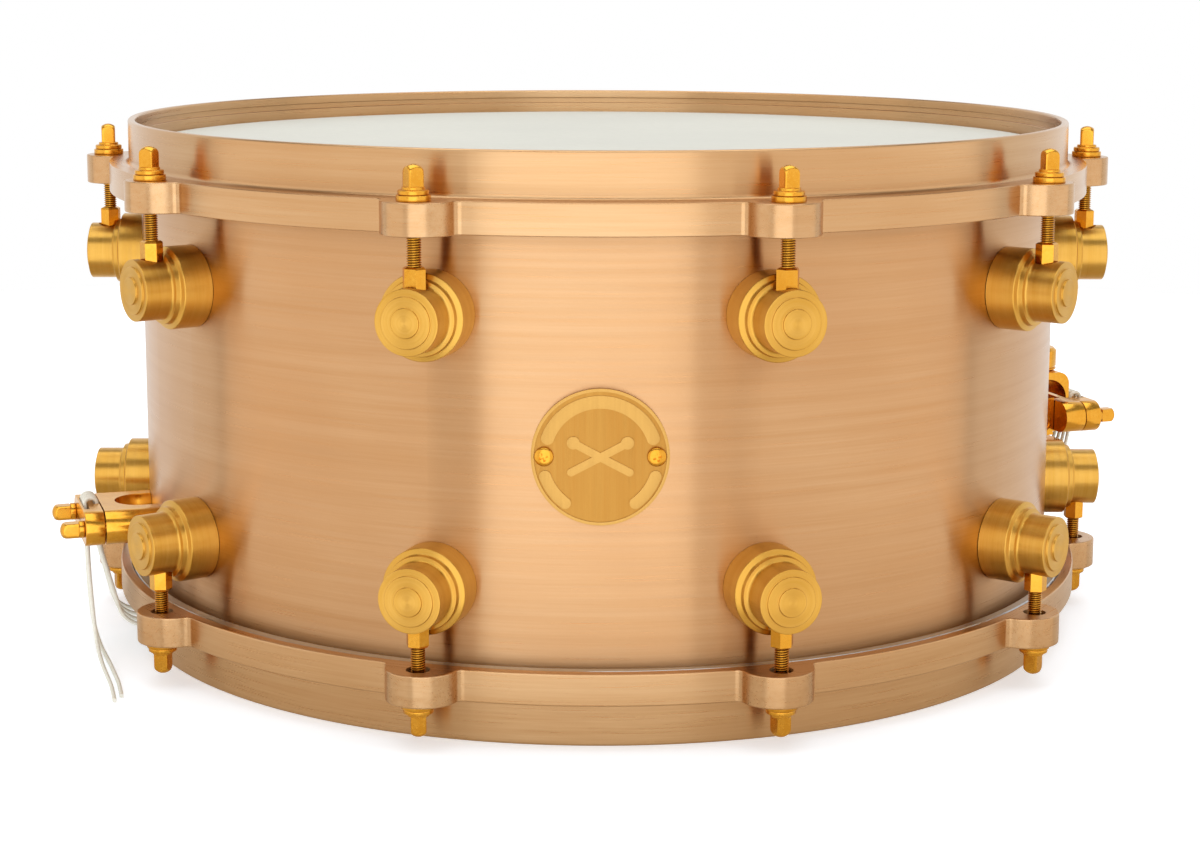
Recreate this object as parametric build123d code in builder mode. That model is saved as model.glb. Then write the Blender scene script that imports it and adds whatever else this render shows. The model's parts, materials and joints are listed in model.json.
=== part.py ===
from build123d import *
import os
from math import cos, pi, radians, sin, tan

os.makedirs("parts", exist_ok=True)

# Snare drum, 14 by 7 inch, with a bronze shell, twenty tube lugs and two straight hoops.
# Millimetres. The origin is the centre of the snare-side rim, on the floor, and +Z is up.
# The badge faces -Y. Azimuths are in degrees from -Y towards +X, so +90 is +X.

# ---- Driving dimensions ------------------------------------------------------------------------
drum_height = 195.2
shell_radius = 176.0
shell_wall = 3.0
film_recess = 9.6  # how far each head lies inside its rim
film_thickness = 0.3
film_clearance = 0.3  # between the shell's side and the film's skirt
edge_gap = 0.05  # between the bearing edge and the film

rod_count = 10
rod_circle = 191.25
rod_radius = 2.4

butt_azimuth = -72.0
strainer_azimuth = 108.0

mid_height = drum_height / 2
azimuth_step = 360 / rod_count
rod_azimuths = [azimuth_step * (index + 0.5) for index in range(rod_count)]
batter_lug_height = 141.6
snare_lug_height = 51.3


def radial_point(radius, azimuth, height=0.0, across=0.0):
    """The point at this radius and azimuth, moved across along the tangent."""
    angle = radians(azimuth)
    return Vector(
        radius * sin(angle) + across * cos(angle),
        -radius * cos(angle) + across * sin(angle),
        height,
    )


def outward(azimuth):
    """The unit vector that points away from the drum's axis at this azimuth."""
    return radial_point(1, azimuth)


def face_plane(azimuth, radius, height=0.0, across=0.0):
    """A plane tangent to the drum: X along the tangent, Y up, Z outward."""
    return Plane(
        origin=radial_point(radius, azimuth, height, across),
        x_dir=radial_point(0, azimuth, 0, 1),
        z_dir=outward(azimuth),
    )


def section_plane(azimuth, across=0.0):
    """A plane through the drum's side: X outward from the drum's axis, Y up."""
    return Plane(
        origin=radial_point(0, azimuth, 0, across),
        x_dir=outward(azimuth),
        z_dir=radial_point(0, azimuth, 0, -1),
    )


# ---- Shell -------------------------------------------------------------------------------------
shell_bottom = film_recess + film_thickness + edge_gap
shell_top = drum_height - shell_bottom
shell_inner = shell_radius - shell_wall
bearing_apex = shell_radius - 1.8
edge_round = shell_radius - bearing_apex
edge_bevel = bearing_apex - shell_inner

snare_bed_depth = 1.5
snare_bed_radius = 408.0
screw_radius = 2.0
screw_hole_radius = 2.15
vent_radius = 5.0

badge_height = 96.2
badge_screw_across = 18.2
badge_screw_turn = 5.9
badge_screw_hole = 1.3
butt_height = 47.7
butt_screw_turn = 4.7
strainer_height = 66.0
strainer_mount_heights = [55.0, 77.0]

with BuildPart() as shell:
    with BuildSketch(Plane.XZ) as shell_section:
        with BuildLine() as shell_outline:
            Line((shell_inner, shell_bottom + edge_bevel), (bearing_apex, shell_bottom))
            RadiusArc(
                (bearing_apex, shell_bottom),
                (shell_radius, shell_bottom + edge_round),
                -edge_round,
            )
            Line((shell_radius, shell_bottom + edge_round), (shell_radius, shell_top - edge_round))
            RadiusArc(
                (shell_radius, shell_top - edge_round),
                (bearing_apex, shell_top),
                -edge_round,
            )
            Line((bearing_apex, shell_top), (shell_inner, shell_top - edge_bevel))
            Line((shell_inner, shell_top - edge_bevel), (shell_inner, shell_bottom + edge_bevel))
        make_face()
    revolve(axis=Axis.Z)
    # Shallow snare beds under the cords.
    for azimuth in (butt_azimuth, strainer_azimuth):
        bed_height = shell_bottom + snare_bed_depth - snare_bed_radius
        with BuildSketch(face_plane(azimuth, shell_inner - 8, bed_height)):
            Circle(snare_bed_radius)
        extrude(amount=shell_wall + 10, mode=Mode.SUBTRACT)
    # Screw holes of the lugs, the badge, the butt plate and the strainer, and the air vent at the back.
    for azimuth in rod_azimuths:
        for height in (batter_lug_height, snare_lug_height):
            with BuildSketch(face_plane(azimuth, shell_inner - 2, height)):
                Circle(screw_hole_radius)
            extrude(amount=shell_wall + 4, mode=Mode.SUBTRACT)
    for turn in (-badge_screw_turn, badge_screw_turn):
        with BuildSketch(face_plane(turn, shell_inner - 2, badge_height)):
            Circle(badge_screw_hole)
        extrude(amount=shell_wall + 4, mode=Mode.SUBTRACT)
    for turn in (-butt_screw_turn, butt_screw_turn):
        with BuildSketch(face_plane(butt_azimuth + turn, shell_inner - 2, butt_height)):
            Circle(screw_hole_radius)
        extrude(amount=shell_wall + 4, mode=Mode.SUBTRACT)
    for height in strainer_mount_heights:
        with BuildSketch(face_plane(strainer_azimuth, shell_inner - 2, height)):
            Circle(screw_hole_radius)
        extrude(amount=shell_wall + 4, mode=Mode.SUBTRACT)
    with BuildSketch(face_plane(180, shell_inner - 2, mid_height)):
        Circle(vent_radius)
    extrude(amount=shell_wall + 4, mode=Mode.SUBTRACT)
shell.part.label = "shell"
export_step(shell.part, "parts/shell.step")

# ---- Lugs --------------------------------------------------------------------------------------
# One lug stands on the front of the drum with its axis at height 0, then it is copied round.
seat_gap = 0.1
lug_base_radius = 14.5
lug_root_radius = 12.3
lug_post_radius = 10.75
lug_base_end = 186.0
lug_root_end = 189.6
lug_end = 198.6
lug_step_radius = 8.35
lug_centre_radius = 4.8
lug_step_rise = 0.7
receiver_bore = rod_radius + 0.05
receiver_shank = 3.4
receiver_flats = 6.8
receiver_end = 17.0
receiver_start = -4.0
spot_face_height = 9.6
lug_axis = Axis((0, 0, 0), outward(0))

with BuildPart() as lug:
    with BuildSketch(section_plane(0)) as lug_section:
        with BuildLine() as lug_outline:
            Polyline(
                (shell_radius - 4, 0),
                (shell_radius - 4, lug_base_radius),
                (lug_base_end - 0.6, lug_base_radius),
                (lug_base_end, lug_base_radius - 0.6),
                (lug_base_end + 1.2, lug_root_radius + 0.3),
                (lug_root_end - 1.2, lug_root_radius),
            )
            RadiusArc((lug_root_end - 1.2, lug_root_radius), (lug_root_end + 0.6, lug_post_radius), 1.9)
            Polyline(
                (lug_root_end + 0.6, lug_post_radius),
                (lug_end - 0.4, lug_post_radius),
                (lug_end, lug_post_radius - 0.4),
                (lug_end, lug_step_radius),
                (lug_end + lug_step_rise - 0.2, lug_step_radius),
                (lug_end + lug_step_rise, lug_step_radius - 0.2),
                (lug_end + lug_step_rise, lug_centre_radius),
                (lug_end + 2 * lug_step_rise - 0.3, lug_centre_radius),
                (lug_end + 2 * lug_step_rise, lug_centre_radius - 0.3),
                (lug_end + 2 * lug_step_rise, 0),
                (shell_radius - 4, 0),
            )
        make_face()
    revolve(axis=lug_axis)
    # The back follows the shell.
    with BuildSketch(Plane.XY.offset(-lug_base_radius - 1)):
        Circle(shell_radius + seat_gap)
    extrude(amount=2 * lug_base_radius + 2, mode=Mode.SUBTRACT)
    # The receiver's bore and spot face, on the side towards the hoop.
    with BuildSketch(Plane.XY.offset(receiver_start - 1)):
        with Locations((0, -rod_circle)):
            Circle(receiver_shank + 0.05)
    extrude(amount=receiver_end - receiver_start, mode=Mode.SUBTRACT)
    with BuildSketch(Plane.XY.offset(spot_face_height)):
        with Locations((0, -rod_circle)):
            Circle(4.7)
    extrude(amount=6, mode=Mode.SUBTRACT)
    # The blind hole for the fixing screw.
    with BuildSketch(face_plane(0, shell_radius - 4)):
        Circle(screw_radius + 0.05)
    extrude(amount=12, mode=Mode.SUBTRACT)

with BuildPart() as receiver:
    with BuildSketch(Plane.XY.offset(receiver_start)):
        with Locations((0, -rod_circle)):
            Circle(receiver_shank)
    extrude(amount=spot_face_height + 0.1 - receiver_start)
    with BuildSketch(Plane.XY.offset(spot_face_height + 0.05)):
        with Locations((0, -rod_circle)):
            RegularPolygon(receiver_flats / 2, 6, major_radius=False)
    extrude(amount=receiver_end - spot_face_height - 0.05)
    chamfer(receiver.faces().sort_by(Axis.Z)[-1].edges(), length=0.8, length2=0.5)
    with BuildSketch(Plane.XY.offset(receiver_start - 1)):
        with Locations((0, -rod_circle)):
            Circle(receiver_bore)
    extrude(amount=receiver_end - receiver_start + 2, mode=Mode.SUBTRACT)

# The fixing screw: a pan head and a washer inside the shell, and a shank into the lug's base.
washer_outer = 6.0
screw_head_radius = 4.2
with BuildPart() as lug_screw:
    with BuildSketch(section_plane(0)):
        with BuildLine():
            Polyline(
                (shell_inner - 4.2, 0),
                (shell_inner - 4.2, screw_head_radius - 1.0),
                (shell_inner - 3.2, screw_head_radius),
                (shell_inner - 1.6, screw_head_radius),
                (shell_inner - 1.6, washer_outer),
                (shell_inner - 0.5, washer_outer),
                (shell_inner - 0.5, screw_radius),
                (shell_radius + 7.0, screw_radius),
                (shell_radius + 7.8, screw_radius - 0.8),
                (shell_radius + 7.8, 0),
                (shell_inner - 4.2, 0),
            )
        make_face()
    revolve(axis=lug_axis)
    with BuildSketch(face_plane(0, shell_inner - 4.2)):
        Rectangle(5.0, 1.0)
        Rectangle(1.0, 5.0)
    extrude(amount=1.4, mode=Mode.SUBTRACT)


def placed(piece, azimuth, height, turned_over=False):
    """A copy of a piece made at the front, at this azimuth and height."""
    body = piece.part
    if turned_over:
        body = body.mirror(Plane.XY)
    return body.moved(Location((0, 0, height), (0, 0, azimuth)))


with BuildPart() as batter_lugs:
    for azimuth in rod_azimuths:
        add(placed(lug, azimuth, batter_lug_height))
batter_lugs.part.label = "batter_lugs"
export_step(batter_lugs.part, "parts/batter_lugs.step")

with BuildPart() as snare_lugs:
    for azimuth in rod_azimuths:
        add(placed(lug, azimuth, snare_lug_height, True))
snare_lugs.part.label = "snare_lugs"
export_step(snare_lugs.part, "parts/snare_lugs.step")

with BuildPart() as batter_receivers:
    for azimuth in rod_azimuths:
        add(placed(receiver, azimuth, batter_lug_height))
batter_receivers.part.label = "batter_receivers"
export_step(batter_receivers.part, "parts/batter_receivers.step")

with BuildPart() as snare_receivers:
    for azimuth in rod_azimuths:
        add(placed(receiver, azimuth, snare_lug_height, True))
snare_receivers.part.label = "snare_receivers"
export_step(snare_receivers.part, "parts/snare_receivers.step")

with BuildPart() as lug_screws:
    for azimuth in rod_azimuths:
        for height in (batter_lug_height, snare_lug_height):
            add(placed(lug_screw, azimuth, height))
lug_screws.part.label = "lug_screws"
export_step(lug_screws.part, "parts/lug_screws.step")

# ---- Hoops -------------------------------------------------------------------------------------
# A straight rim, a collar with ten ears, and a counterbore for the flesh hoop. Rim edge at height 0.
rim_outer = 180.2
rim_inner = 177.4
rim_edge_round = 1.1
groove_radius = 178.4
groove_low = 3.4
groove_high = 5.7
collar_low = 15.8
collar_high = 26.6
collar_outer = 187.5
counterbore_radius = 183.8
counterbore_floor = 18.2
cove_radius = 2.4
ear_centre = 187.2
ear_radius = 12.4
ear_fillet = 2.5
ear_hole_radius = 4.0
gate_half_width = 24.0
gate_height = 13.0

with BuildPart() as plain_hoop:
    with BuildSketch(Plane.XZ):
        with BuildLine():
            Line((counterbore_radius, counterbore_floor), (rim_inner, counterbore_floor))
            Line((rim_inner, counterbore_floor), (rim_inner, groove_high))
            Line((rim_inner, groove_high), (groove_radius, groove_high))
            Line((groove_radius, groove_high), (groove_radius, groove_low))
            Line((groove_radius, groove_low), (rim_inner, groove_low))
            Line((rim_inner, groove_low), (rim_inner, rim_edge_round))
            RadiusArc((rim_inner, rim_edge_round), (rim_inner + rim_edge_round, 0), -rim_edge_round)
            Line((rim_inner + rim_edge_round, 0), (rim_outer - rim_edge_round, 0))
            RadiusArc((rim_outer - rim_edge_round, 0), (rim_outer, rim_edge_round), -rim_edge_round)
            Line((rim_outer, rim_edge_round), (rim_outer, collar_low - cove_radius))
            RadiusArc(
                (rim_outer, collar_low - cove_radius),
                (rim_outer + cove_radius, collar_low),
                cove_radius,
            )
            Line((rim_outer + cove_radius, collar_low), (counterbore_radius, collar_low))
            Line((counterbore_radius, collar_low), (counterbore_radius, counterbore_floor))
        make_face()
    revolve(axis=Axis.Z)
    with BuildSketch(Plane.XY.offset(collar_low)) as collar_outline:
        Circle(collar_outer)
        with PolarLocations(ear_centre, rod_count, start_angle=azimuth_step / 2 - 90):
            Circle(ear_radius)
        corners = [
            vertex
            for vertex in collar_outline.vertices()
            if abs(Vector(vertex.X, vertex.Y, 0).length - collar_outer) < 0.05
        ]
        fillet(corners, radius=ear_fillet)
        Circle(counterbore_radius, mode=Mode.SUBTRACT)
        with PolarLocations(rod_circle, rod_count, start_angle=azimuth_step / 2 - 90):
            Circle(ear_hole_radius, mode=Mode.SUBTRACT)
    extrude(amount=collar_high - collar_low)

with BuildPart() as snare_hoop:
    add(plain_hoop.part)
    for azimuth in (butt_azimuth, strainer_azimuth):
        with BuildSketch(face_plane(azimuth, rim_inner - 8)):
            Rectangle(2 * gate_half_width, 2 * gate_height)
        extrude(amount=12, mode=Mode.SUBTRACT)
snare_hoop.part.label = "snare_hoop"
export_step(snare_hoop.part, "parts/snare_hoop.step")

with BuildPart() as batter_hoop:
    add(plain_hoop.part.mirror(Plane.XY.offset(mid_height)))
batter_hoop.part.label = "batter_hoop"
export_step(batter_hoop.part, "parts/batter_hoop.step")

# ---- Heads -------------------------------------------------------------------------------------
# The film lies on the bearing edge, turns down round the shell and flares into the flesh hoop.
film_outside = shell_radius + film_clearance + film_thickness
skirt_turn = film_outside - bearing_apex
skirt_end = 17.4
flare_radius = 179.2
flare_end = 21.4
film_edge = 25.4
flesh_inner = 179.3
flesh_outer = 183.4
flesh_high = 26.3

with BuildPart() as snare_head:
    with BuildSketch(Plane.XZ):
        with BuildLine() as film_line:
            Line((0, film_recess), (bearing_apex, film_recess))
            RadiusArc(
                (bearing_apex, film_recess),
                (film_outside, film_recess + skirt_turn),
                -skirt_turn,
            )
            Polyline(
                (film_outside, film_recess + skirt_turn),
                (film_outside, skirt_end),
                (flare_radius, flare_end),
                (flare_radius, film_edge),
                (flare_radius - film_thickness, film_edge),
                (flare_radius - film_thickness, flare_end + 0.1),
                (film_outside - film_thickness, skirt_end + 0.1),
                (film_outside - film_thickness, film_recess + skirt_turn),
            )
            RadiusArc(
                (film_outside - film_thickness, film_recess + skirt_turn),
                (bearing_apex, film_recess + film_thickness),
                skirt_turn - film_thickness,
            )
            Line((bearing_apex, film_recess + film_thickness), (0, film_recess + film_thickness))
            Line((0, film_recess + film_thickness), (0, film_recess))
        make_face()
    revolve(axis=Axis.Z)
snare_head.part.label = "snare_head"
export_step(snare_head.part, "parts/snare_head.step")

with BuildPart() as batter_head:
    add(snare_head.part.mirror(Plane.XY.offset(mid_height)))
batter_head.part.label = "batter_head"
export_step(batter_head.part, "parts/batter_head.step")

with BuildPart() as snare_flesh_hoop:
    with BuildSketch(Plane.XZ) as flesh_section:
        with Locations(((flesh_inner + flesh_outer) / 2, (counterbore_floor + 0.05 + flesh_high) / 2)):
            RectangleRounded(flesh_outer - flesh_inner, flesh_high - counterbore_floor - 0.05, 0.8)
    revolve(axis=Axis.Z)
snare_flesh_hoop.part.label = "snare_flesh_hoop"
export_step(snare_flesh_hoop.part, "parts/snare_flesh_hoop.step")

with BuildPart() as batter_flesh_hoop:
    add(snare_flesh_hoop.part.mirror(Plane.XY.offset(mid_height)))
batter_flesh_hoop.part.label = "batter_flesh_hoop"
export_step(batter_flesh_hoop.part, "parts/batter_flesh_hoop.step")

# ---- Tension rods and washers ------------------------------------------------------------------
# One rod hangs on the drum's axis with its ear's face at height 0 and its head up.
washer_thickness = 2.0
washer_radius = 5.6
washer_bore = 2.7
flange_gap = 0.05
flange_radius = 5.0
flange_height = 1.6
neck_radius = 3.7
neck_height = 0.9
key_flats = 5.2
head_top = 11.8
dome_radius = 3.9
rod_tip_beyond_lug = 2.0
ear_face = collar_low
rod_reach = drum_height - ear_face - batter_lug_height + rod_tip_beyond_lug
flange_base = washer_thickness + flange_gap
neck_top = flange_base + flange_height + neck_height

with BuildPart() as washer:
    with BuildSketch():
        Circle(washer_radius)
        Circle(washer_bore, mode=Mode.SUBTRACT)
    extrude(amount=washer_thickness)
    chamfer(washer.faces().sort_by(Axis.Z)[-1].outer_wire().edges(), length=0.3)

with BuildPart() as key_head:
    with BuildSketch(Plane.XY.offset(neck_top - 0.2)):
        RectangleRounded(key_flats, key_flats, 0.25)
    extrude(amount=head_top - neck_top + 0.2)
    with BuildSketch(Plane.XZ):
        with BuildLine():
            Line((0, 0), (dome_radius, 0))
            Line((dome_radius, 0), (dome_radius, head_top - dome_radius))
            RadiusArc((dome_radius, head_top - dome_radius), (0, head_top), -dome_radius)
            Line((0, head_top), (0, 0))
        make_face()
    revolve(axis=Axis.Z, mode=Mode.INTERSECT)


def build_rod(reach):
    """A tension rod with its square head up and its threaded shank reaching down this far."""
    with BuildPart() as rod:
        with BuildSketch(Plane.XZ):
            with BuildLine():
                Polyline(
                    (0, -reach),
                    (rod_radius - 0.7, -reach),
                    (rod_radius, -reach + 0.7),
                    (rod_radius, flange_base),
                    (flange_radius, flange_base),
                    (flange_radius, flange_base + flange_height - 0.5),
                    (flange_radius - 0.5, flange_base + flange_height),
                    (neck_radius, flange_base + flange_height),
                    (neck_radius, neck_top - 0.3),
                    (neck_radius - 0.3, neck_top),
                    (0, neck_top),
                    (0, -reach),
                )
            make_face()
        revolve(axis=Axis.Z)
        add(key_head.part)
    return rod.part


batter_rod = build_rod(rod_reach)
snare_rod = build_rod(snare_lug_height - ear_face + rod_tip_beyond_lug)
# How far each head is turned, as a drummer's tuning leaves them.
batter_head_turns = [20, 12, 78, 20, 55, 41, 66, 12, 70, 32]
snare_head_turns = [28, 54, 35, 61, 10, 47, 83, 25, 78, 4]

for index, azimuth in enumerate(rod_azimuths):
    with BuildPart() as tension_rod:
        at = radial_point(rod_circle, azimuth, drum_height - ear_face)
        add(batter_rod.moved(Location((at.X, at.Y, at.Z), (0, 0, batter_head_turns[index]))))
    name = f"batter_rod_{index + 1:02d}"
    tension_rod.part.label = name
    export_step(tension_rod.part, f"parts/{name}.step")
    with BuildPart() as tension_rod:
        at = radial_point(rod_circle, azimuth, ear_face)
        add(snare_rod.moved(Location((at.X, at.Y, at.Z), (180, 0, -snare_head_turns[index]))))
    name = f"snare_rod_{index + 1:02d}"
    tension_rod.part.label = name
    export_step(tension_rod.part, f"parts/{name}.step")

with BuildPart() as batter_washers:
    for azimuth in rod_azimuths:
        at = radial_point(rod_circle, azimuth, drum_height - ear_face)
        add(washer.part.moved(Location((at.X, at.Y, at.Z))))
batter_washers.part.label = "batter_washers"
export_step(batter_washers.part, "parts/batter_washers.step")

with BuildPart() as snare_washers:
    for azimuth in rod_azimuths:
        at = radial_point(rod_circle, azimuth, ear_face)
        add(washer.part.moved(Location((at.X, at.Y, at.Z), (180, 0, 0))))
snare_washers.part.label = "snare_washers"
export_step(snare_washers.part, "parts/snare_washers.step")

# ---- Badge -------------------------------------------------------------------------------------
badge_radius = 22.5
badge_back = shell_radius + 0.1
badge_front = badge_back + 0.9
relief_front = badge_front + 0.5
badge_rim_width = 1.0
top_band_middle = 18.1
top_band_width = 4.2
top_band_start = 19.5
top_band_sweep = 180 - 2 * top_band_start
side_band_middle = 19.0
side_band_width = 3.9
side_band_start = 200
side_band_sweep = 33
stick_length = 24.0
stick_width = 2.6
stick_lean = 28
stick_bead_radius = 2.1
badge_hole_radius = 1.4
screw_seat_radius = 3.4
badge_head_radius = 3.15


def curved_to_shell(sketch_depth, inner, outer):
    """Keep only what lies between these two radii of the part that is being built."""
    with BuildSketch(Plane.XY.offset(badge_height - sketch_depth), mode=Mode.PRIVATE) as ring:
        Circle(outer)
        Circle(inner, mode=Mode.SUBTRACT)
    extrude(ring.sketch, amount=2 * sketch_depth, mode=Mode.INTERSECT)


# A rim, one wide band over the top, two narrow ones below, and crossed drumsticks in the middle.
top_band = CenterArc((0, 0), top_band_middle, top_band_start, top_band_sweep)
left_band = CenterArc((0, 0), side_band_middle, side_band_start, side_band_sweep)
right_band = CenterArc((0, 0), side_band_middle, 180 - side_band_start - side_band_sweep, side_band_sweep)
with BuildPart() as badge_relief:
    with BuildSketch(face_plane(0, shell_radius - 6, badge_height)):
        Circle(badge_radius)
        Circle(badge_radius - badge_rim_width, mode=Mode.SUBTRACT)
        SlotArc(top_band, top_band_width)
        SlotArc(left_band, side_band_width)
        SlotArc(right_band, side_band_width)
        for lean in (stick_lean, 180 - stick_lean):
            SlotOverall(stick_length, stick_width, rotation=lean)
            with PolarLocations(stick_length / 2 - stick_bead_radius, 1, start_angle=lean):
                Circle(stick_bead_radius)
    extrude(amount=12)
    curved_to_shell(badge_radius + 1, badge_front - 0.1, relief_front)

with BuildPart() as badge:
    with BuildSketch(face_plane(0, shell_radius - 6, badge_height)):
        Circle(badge_radius)
        with Locations((-badge_screw_across, 0), (badge_screw_across, 0)):
            Circle(badge_hole_radius, mode=Mode.SUBTRACT)
    extrude(amount=12)
    curved_to_shell(badge_radius + 1, badge_back, badge_front)
    add(badge_relief.part)
    for turn in (-badge_screw_turn, badge_screw_turn):
        with BuildSketch(face_plane(turn, badge_front + 0.02, badge_height)):
            Circle(screw_seat_radius)
        extrude(amount=3, mode=Mode.SUBTRACT)
badge.part.label = "badge"
export_step(badge.part, "parts/badge.step")

# A pan-head screw through the badge and the shell, with a round nut inside.
badge_screw_seat = badge_front + 0.1
with BuildPart() as badge_screw:
    with BuildSketch(section_plane(0)):
        with BuildLine():
            Polyline(
                (badge_screw_seat + 1.6, 0),
                (shell_inner - 3.0, 0),
                (shell_inner - 3.0, 1.2),
                (shell_inner - 2.4, 1.2),
                (shell_inner - 2.4, 2.8),
                (shell_inner - 0.4, 2.8),
                (shell_inner - 0.4, 1.2),
                (badge_screw_seat, 1.2),
                (badge_screw_seat, badge_head_radius),
                (badge_screw_seat + 0.5, badge_head_radius),
            )
            ThreePointArc(
                (badge_screw_seat + 0.5, badge_head_radius),
                (badge_screw_seat + 1.35, 2.0),
                (badge_screw_seat + 1.6, 0),
            )
        make_face()
    revolve(axis=lug_axis)
    with BuildSketch(face_plane(0, badge_screw_seat + 0.8)):
        Rectangle(3.4, 0.7)
        Rectangle(0.7, 3.4)
    extrude(amount=2, mode=Mode.SUBTRACT)

with BuildPart() as badge_screws:
    for turn in (-badge_screw_turn, badge_screw_turn):
        add(placed(badge_screw, turn, badge_height))
badge_screws.part.label = "badge_screws"
export_step(badge_screws.part, "parts/badge_screws.step")

# ---- Cord clamps, the same at the butt plate and at the strainer ---------------------------------
clamp_half_width = 20.8
clamp_height = 12.8
clamp_thickness = 7.1
clamp_joint = 0.35  # gap in which the cords are squeezed
clamp_screw_across = 15.0
clamp_screw_depth = 6.0
clamp_screw_collar = 3.2
clamp_collar_height = 2.4
clamp_key_flats = 5.4
clamp_key_height = 6.8
cord_radius = 0.75
cord_in_joint = 0.85  # from the clamp's inner face to the middle of the cord
cord_in_slot = 5.4
cord_over_top = clamp_height / 2 + 1.8
slot_near = 4.35
slot_far = 6.35
recess_depth = 2.0


def build_clamp(azimuth, face_radius, height, recess_low, recess_high, slot_half_width):
    """A stadium-shaped clamp plate with a recess for the cords inside and a slot through its top."""
    with BuildPart() as clamp:
        with BuildSketch(face_plane(azimuth, face_radius, height)):
            SlotOverall(2 * clamp_half_width, clamp_height)
            with Locations((-clamp_screw_across, 0), (clamp_screw_across, 0)):
                Circle(screw_radius + 0.05, mode=Mode.SUBTRACT)
        extrude(amount=clamp_thickness)
        with BuildSketch(face_plane(azimuth, face_radius, height)):
            with Locations(((recess_low + recess_high) / 2, 0)):
                Rectangle(recess_high - recess_low, 2 * clamp_height)
        extrude(amount=recess_depth, mode=Mode.SUBTRACT)
        with BuildSketch(face_plane(azimuth, face_radius + slot_near, height)):
            Rectangle(2 * slot_half_width, 2 * clamp_height)
        extrude(amount=slot_far - slot_near, mode=Mode.SUBTRACT)
    return clamp.part


def build_clamp_screws(azimuth, face_radius, height):
    """Two square-headed screws that pull a clamp plate against its block."""
    clamp_face = face_radius + clamp_thickness
    across = [(-clamp_screw_across, 0), (clamp_screw_across, 0)]
    with BuildPart() as screws:
        with BuildSketch(face_plane(azimuth, face_radius - clamp_screw_depth, height)):
            with Locations(across):
                Circle(screw_radius - 0.05)
        extrude(amount=clamp_screw_depth + clamp_thickness + 1)
        with BuildSketch(face_plane(azimuth, clamp_face + 0.05, height)):
            with Locations(across):
                Circle(clamp_screw_collar)
        extrude(amount=clamp_collar_height)
        with BuildSketch(face_plane(azimuth, clamp_face + clamp_collar_height - 0.4, height)):
            with Locations(across):
                RectangleRounded(clamp_key_flats, clamp_key_flats, clamp_key_flats / 5)
        extrude(amount=clamp_key_height, taper=3)
    return screws.part


def drill_block(azimuth, outer_radius, height):
    """Blind holes for the clamp screws in the block that is being built."""
    hole_end = face_plane(azimuth, outer_radius - clamp_screw_depth - 0.6, height)
    with BuildSketch(hole_end, mode=Mode.PRIVATE) as holes:
        with Locations((-clamp_screw_across, 0), (clamp_screw_across, 0)):
            Circle(screw_radius)
    extrude(holes.sketch, amount=clamp_screw_depth + 1, mode=Mode.SUBTRACT)


# ---- Butt plate --------------------------------------------------------------------------------
butt_outer = 196.0
butt_face = butt_outer + clamp_joint
trough_radius = 9.7
trough_end = 180.8
block_top = butt_height + clamp_height / 2

with BuildPart() as butt_plate:
    with BuildSketch(face_plane(butt_azimuth, shell_radius - 6, butt_height)):
        SlotOverall(2 * clamp_half_width, clamp_height)
    extrude(amount=butt_outer - shell_radius + 6)
    with BuildSketch(Plane.XY.offset(butt_height - clamp_height)):
        Circle(shell_radius + seat_gap)
    extrude(amount=2 * clamp_height, mode=Mode.SUBTRACT)
    # The trough in the top, with a round end.
    with BuildSketch(face_plane(butt_azimuth, shell_radius - 6, block_top)):
        Circle(trough_radius)
    extrude(amount=trough_end - shell_radius + 6, mode=Mode.SUBTRACT)
    with BuildSketch(section_plane(butt_azimuth)):
        with BuildLine():
            ThreePointArc(
                (trough_end, block_top - trough_radius),
                (trough_end + trough_radius, block_top),
                (trough_end, block_top + trough_radius),
            )
            Line((trough_end, block_top + trough_radius), (trough_end, block_top - trough_radius))
        make_face()
    trough_axis = Axis(radial_point(trough_end, butt_azimuth, block_top), (0, 0, 1))
    revolve(axis=trough_axis, mode=Mode.SUBTRACT)
    drill_block(butt_azimuth, butt_outer, butt_height)
    for turn in (-butt_screw_turn, butt_screw_turn):
        with BuildSketch(face_plane(butt_azimuth + turn, shell_radius - 2, butt_height)):
            Circle(screw_radius + 0.05)
        extrude(amount=10.2, mode=Mode.SUBTRACT)
butt_plate.part.label = "butt_plate"
export_step(butt_plate.part, "parts/butt_plate.step")

# Places of the cords across the butt clamp, and of their holes in the end plate of the wires.
butt_cords = [-8.6, -5.4, -2.2, 1.0]
cord_holes = [-12.0, -4.0, 4.0, 12.0]
tail_exits = [4.5, 8.0]

with BuildPart() as butt_clamp:
    add(build_clamp(butt_azimuth, butt_face, butt_height, -9.6, 2.0, 10.4))
butt_clamp.part.label = "butt_clamp"
export_step(butt_clamp.part, "parts/butt_clamp.step")

with BuildPart() as butt_clamp_screws:
    add(build_clamp_screws(butt_azimuth, butt_face, butt_height))
butt_clamp_screws.part.label = "butt_clamp_screws"
export_step(butt_clamp_screws.part, "parts/butt_clamp_screws.step")

with BuildPart() as butt_mount_screws:
    for turn in (-butt_screw_turn, butt_screw_turn):
        add(placed(lug_screw, butt_azimuth + turn, butt_height))
butt_mount_screws.part.label = "butt_mount_screws"
export_step(butt_mount_screws.part, "parts/butt_mount_screws.step")

# ---- Snare wires -------------------------------------------------------------------------------
strand_count = 20
strand_pitch = 2.1
strand_radius = 0.9
strand_half_length = 148.0
wire_height = 8.5
plate_low = 6.5
plate_high = 7.7
plate_inner = 142.0
plate_outer = 168.0
plate_width = 44.0
hole_reach = 163.1
cord_hole_radius = 1.5

with BuildPart() as snare_wires:
    with BuildSketch(face_plane(strainer_azimuth, -strand_half_length, wire_height)):
        with GridLocations(strand_pitch, 0, strand_count, 1):
            Circle(strand_radius)
    extrude(amount=2 * strand_half_length)
snare_wires.part.label = "snare_wires"
export_step(snare_wires.part, "parts/snare_wires.step")

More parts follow.
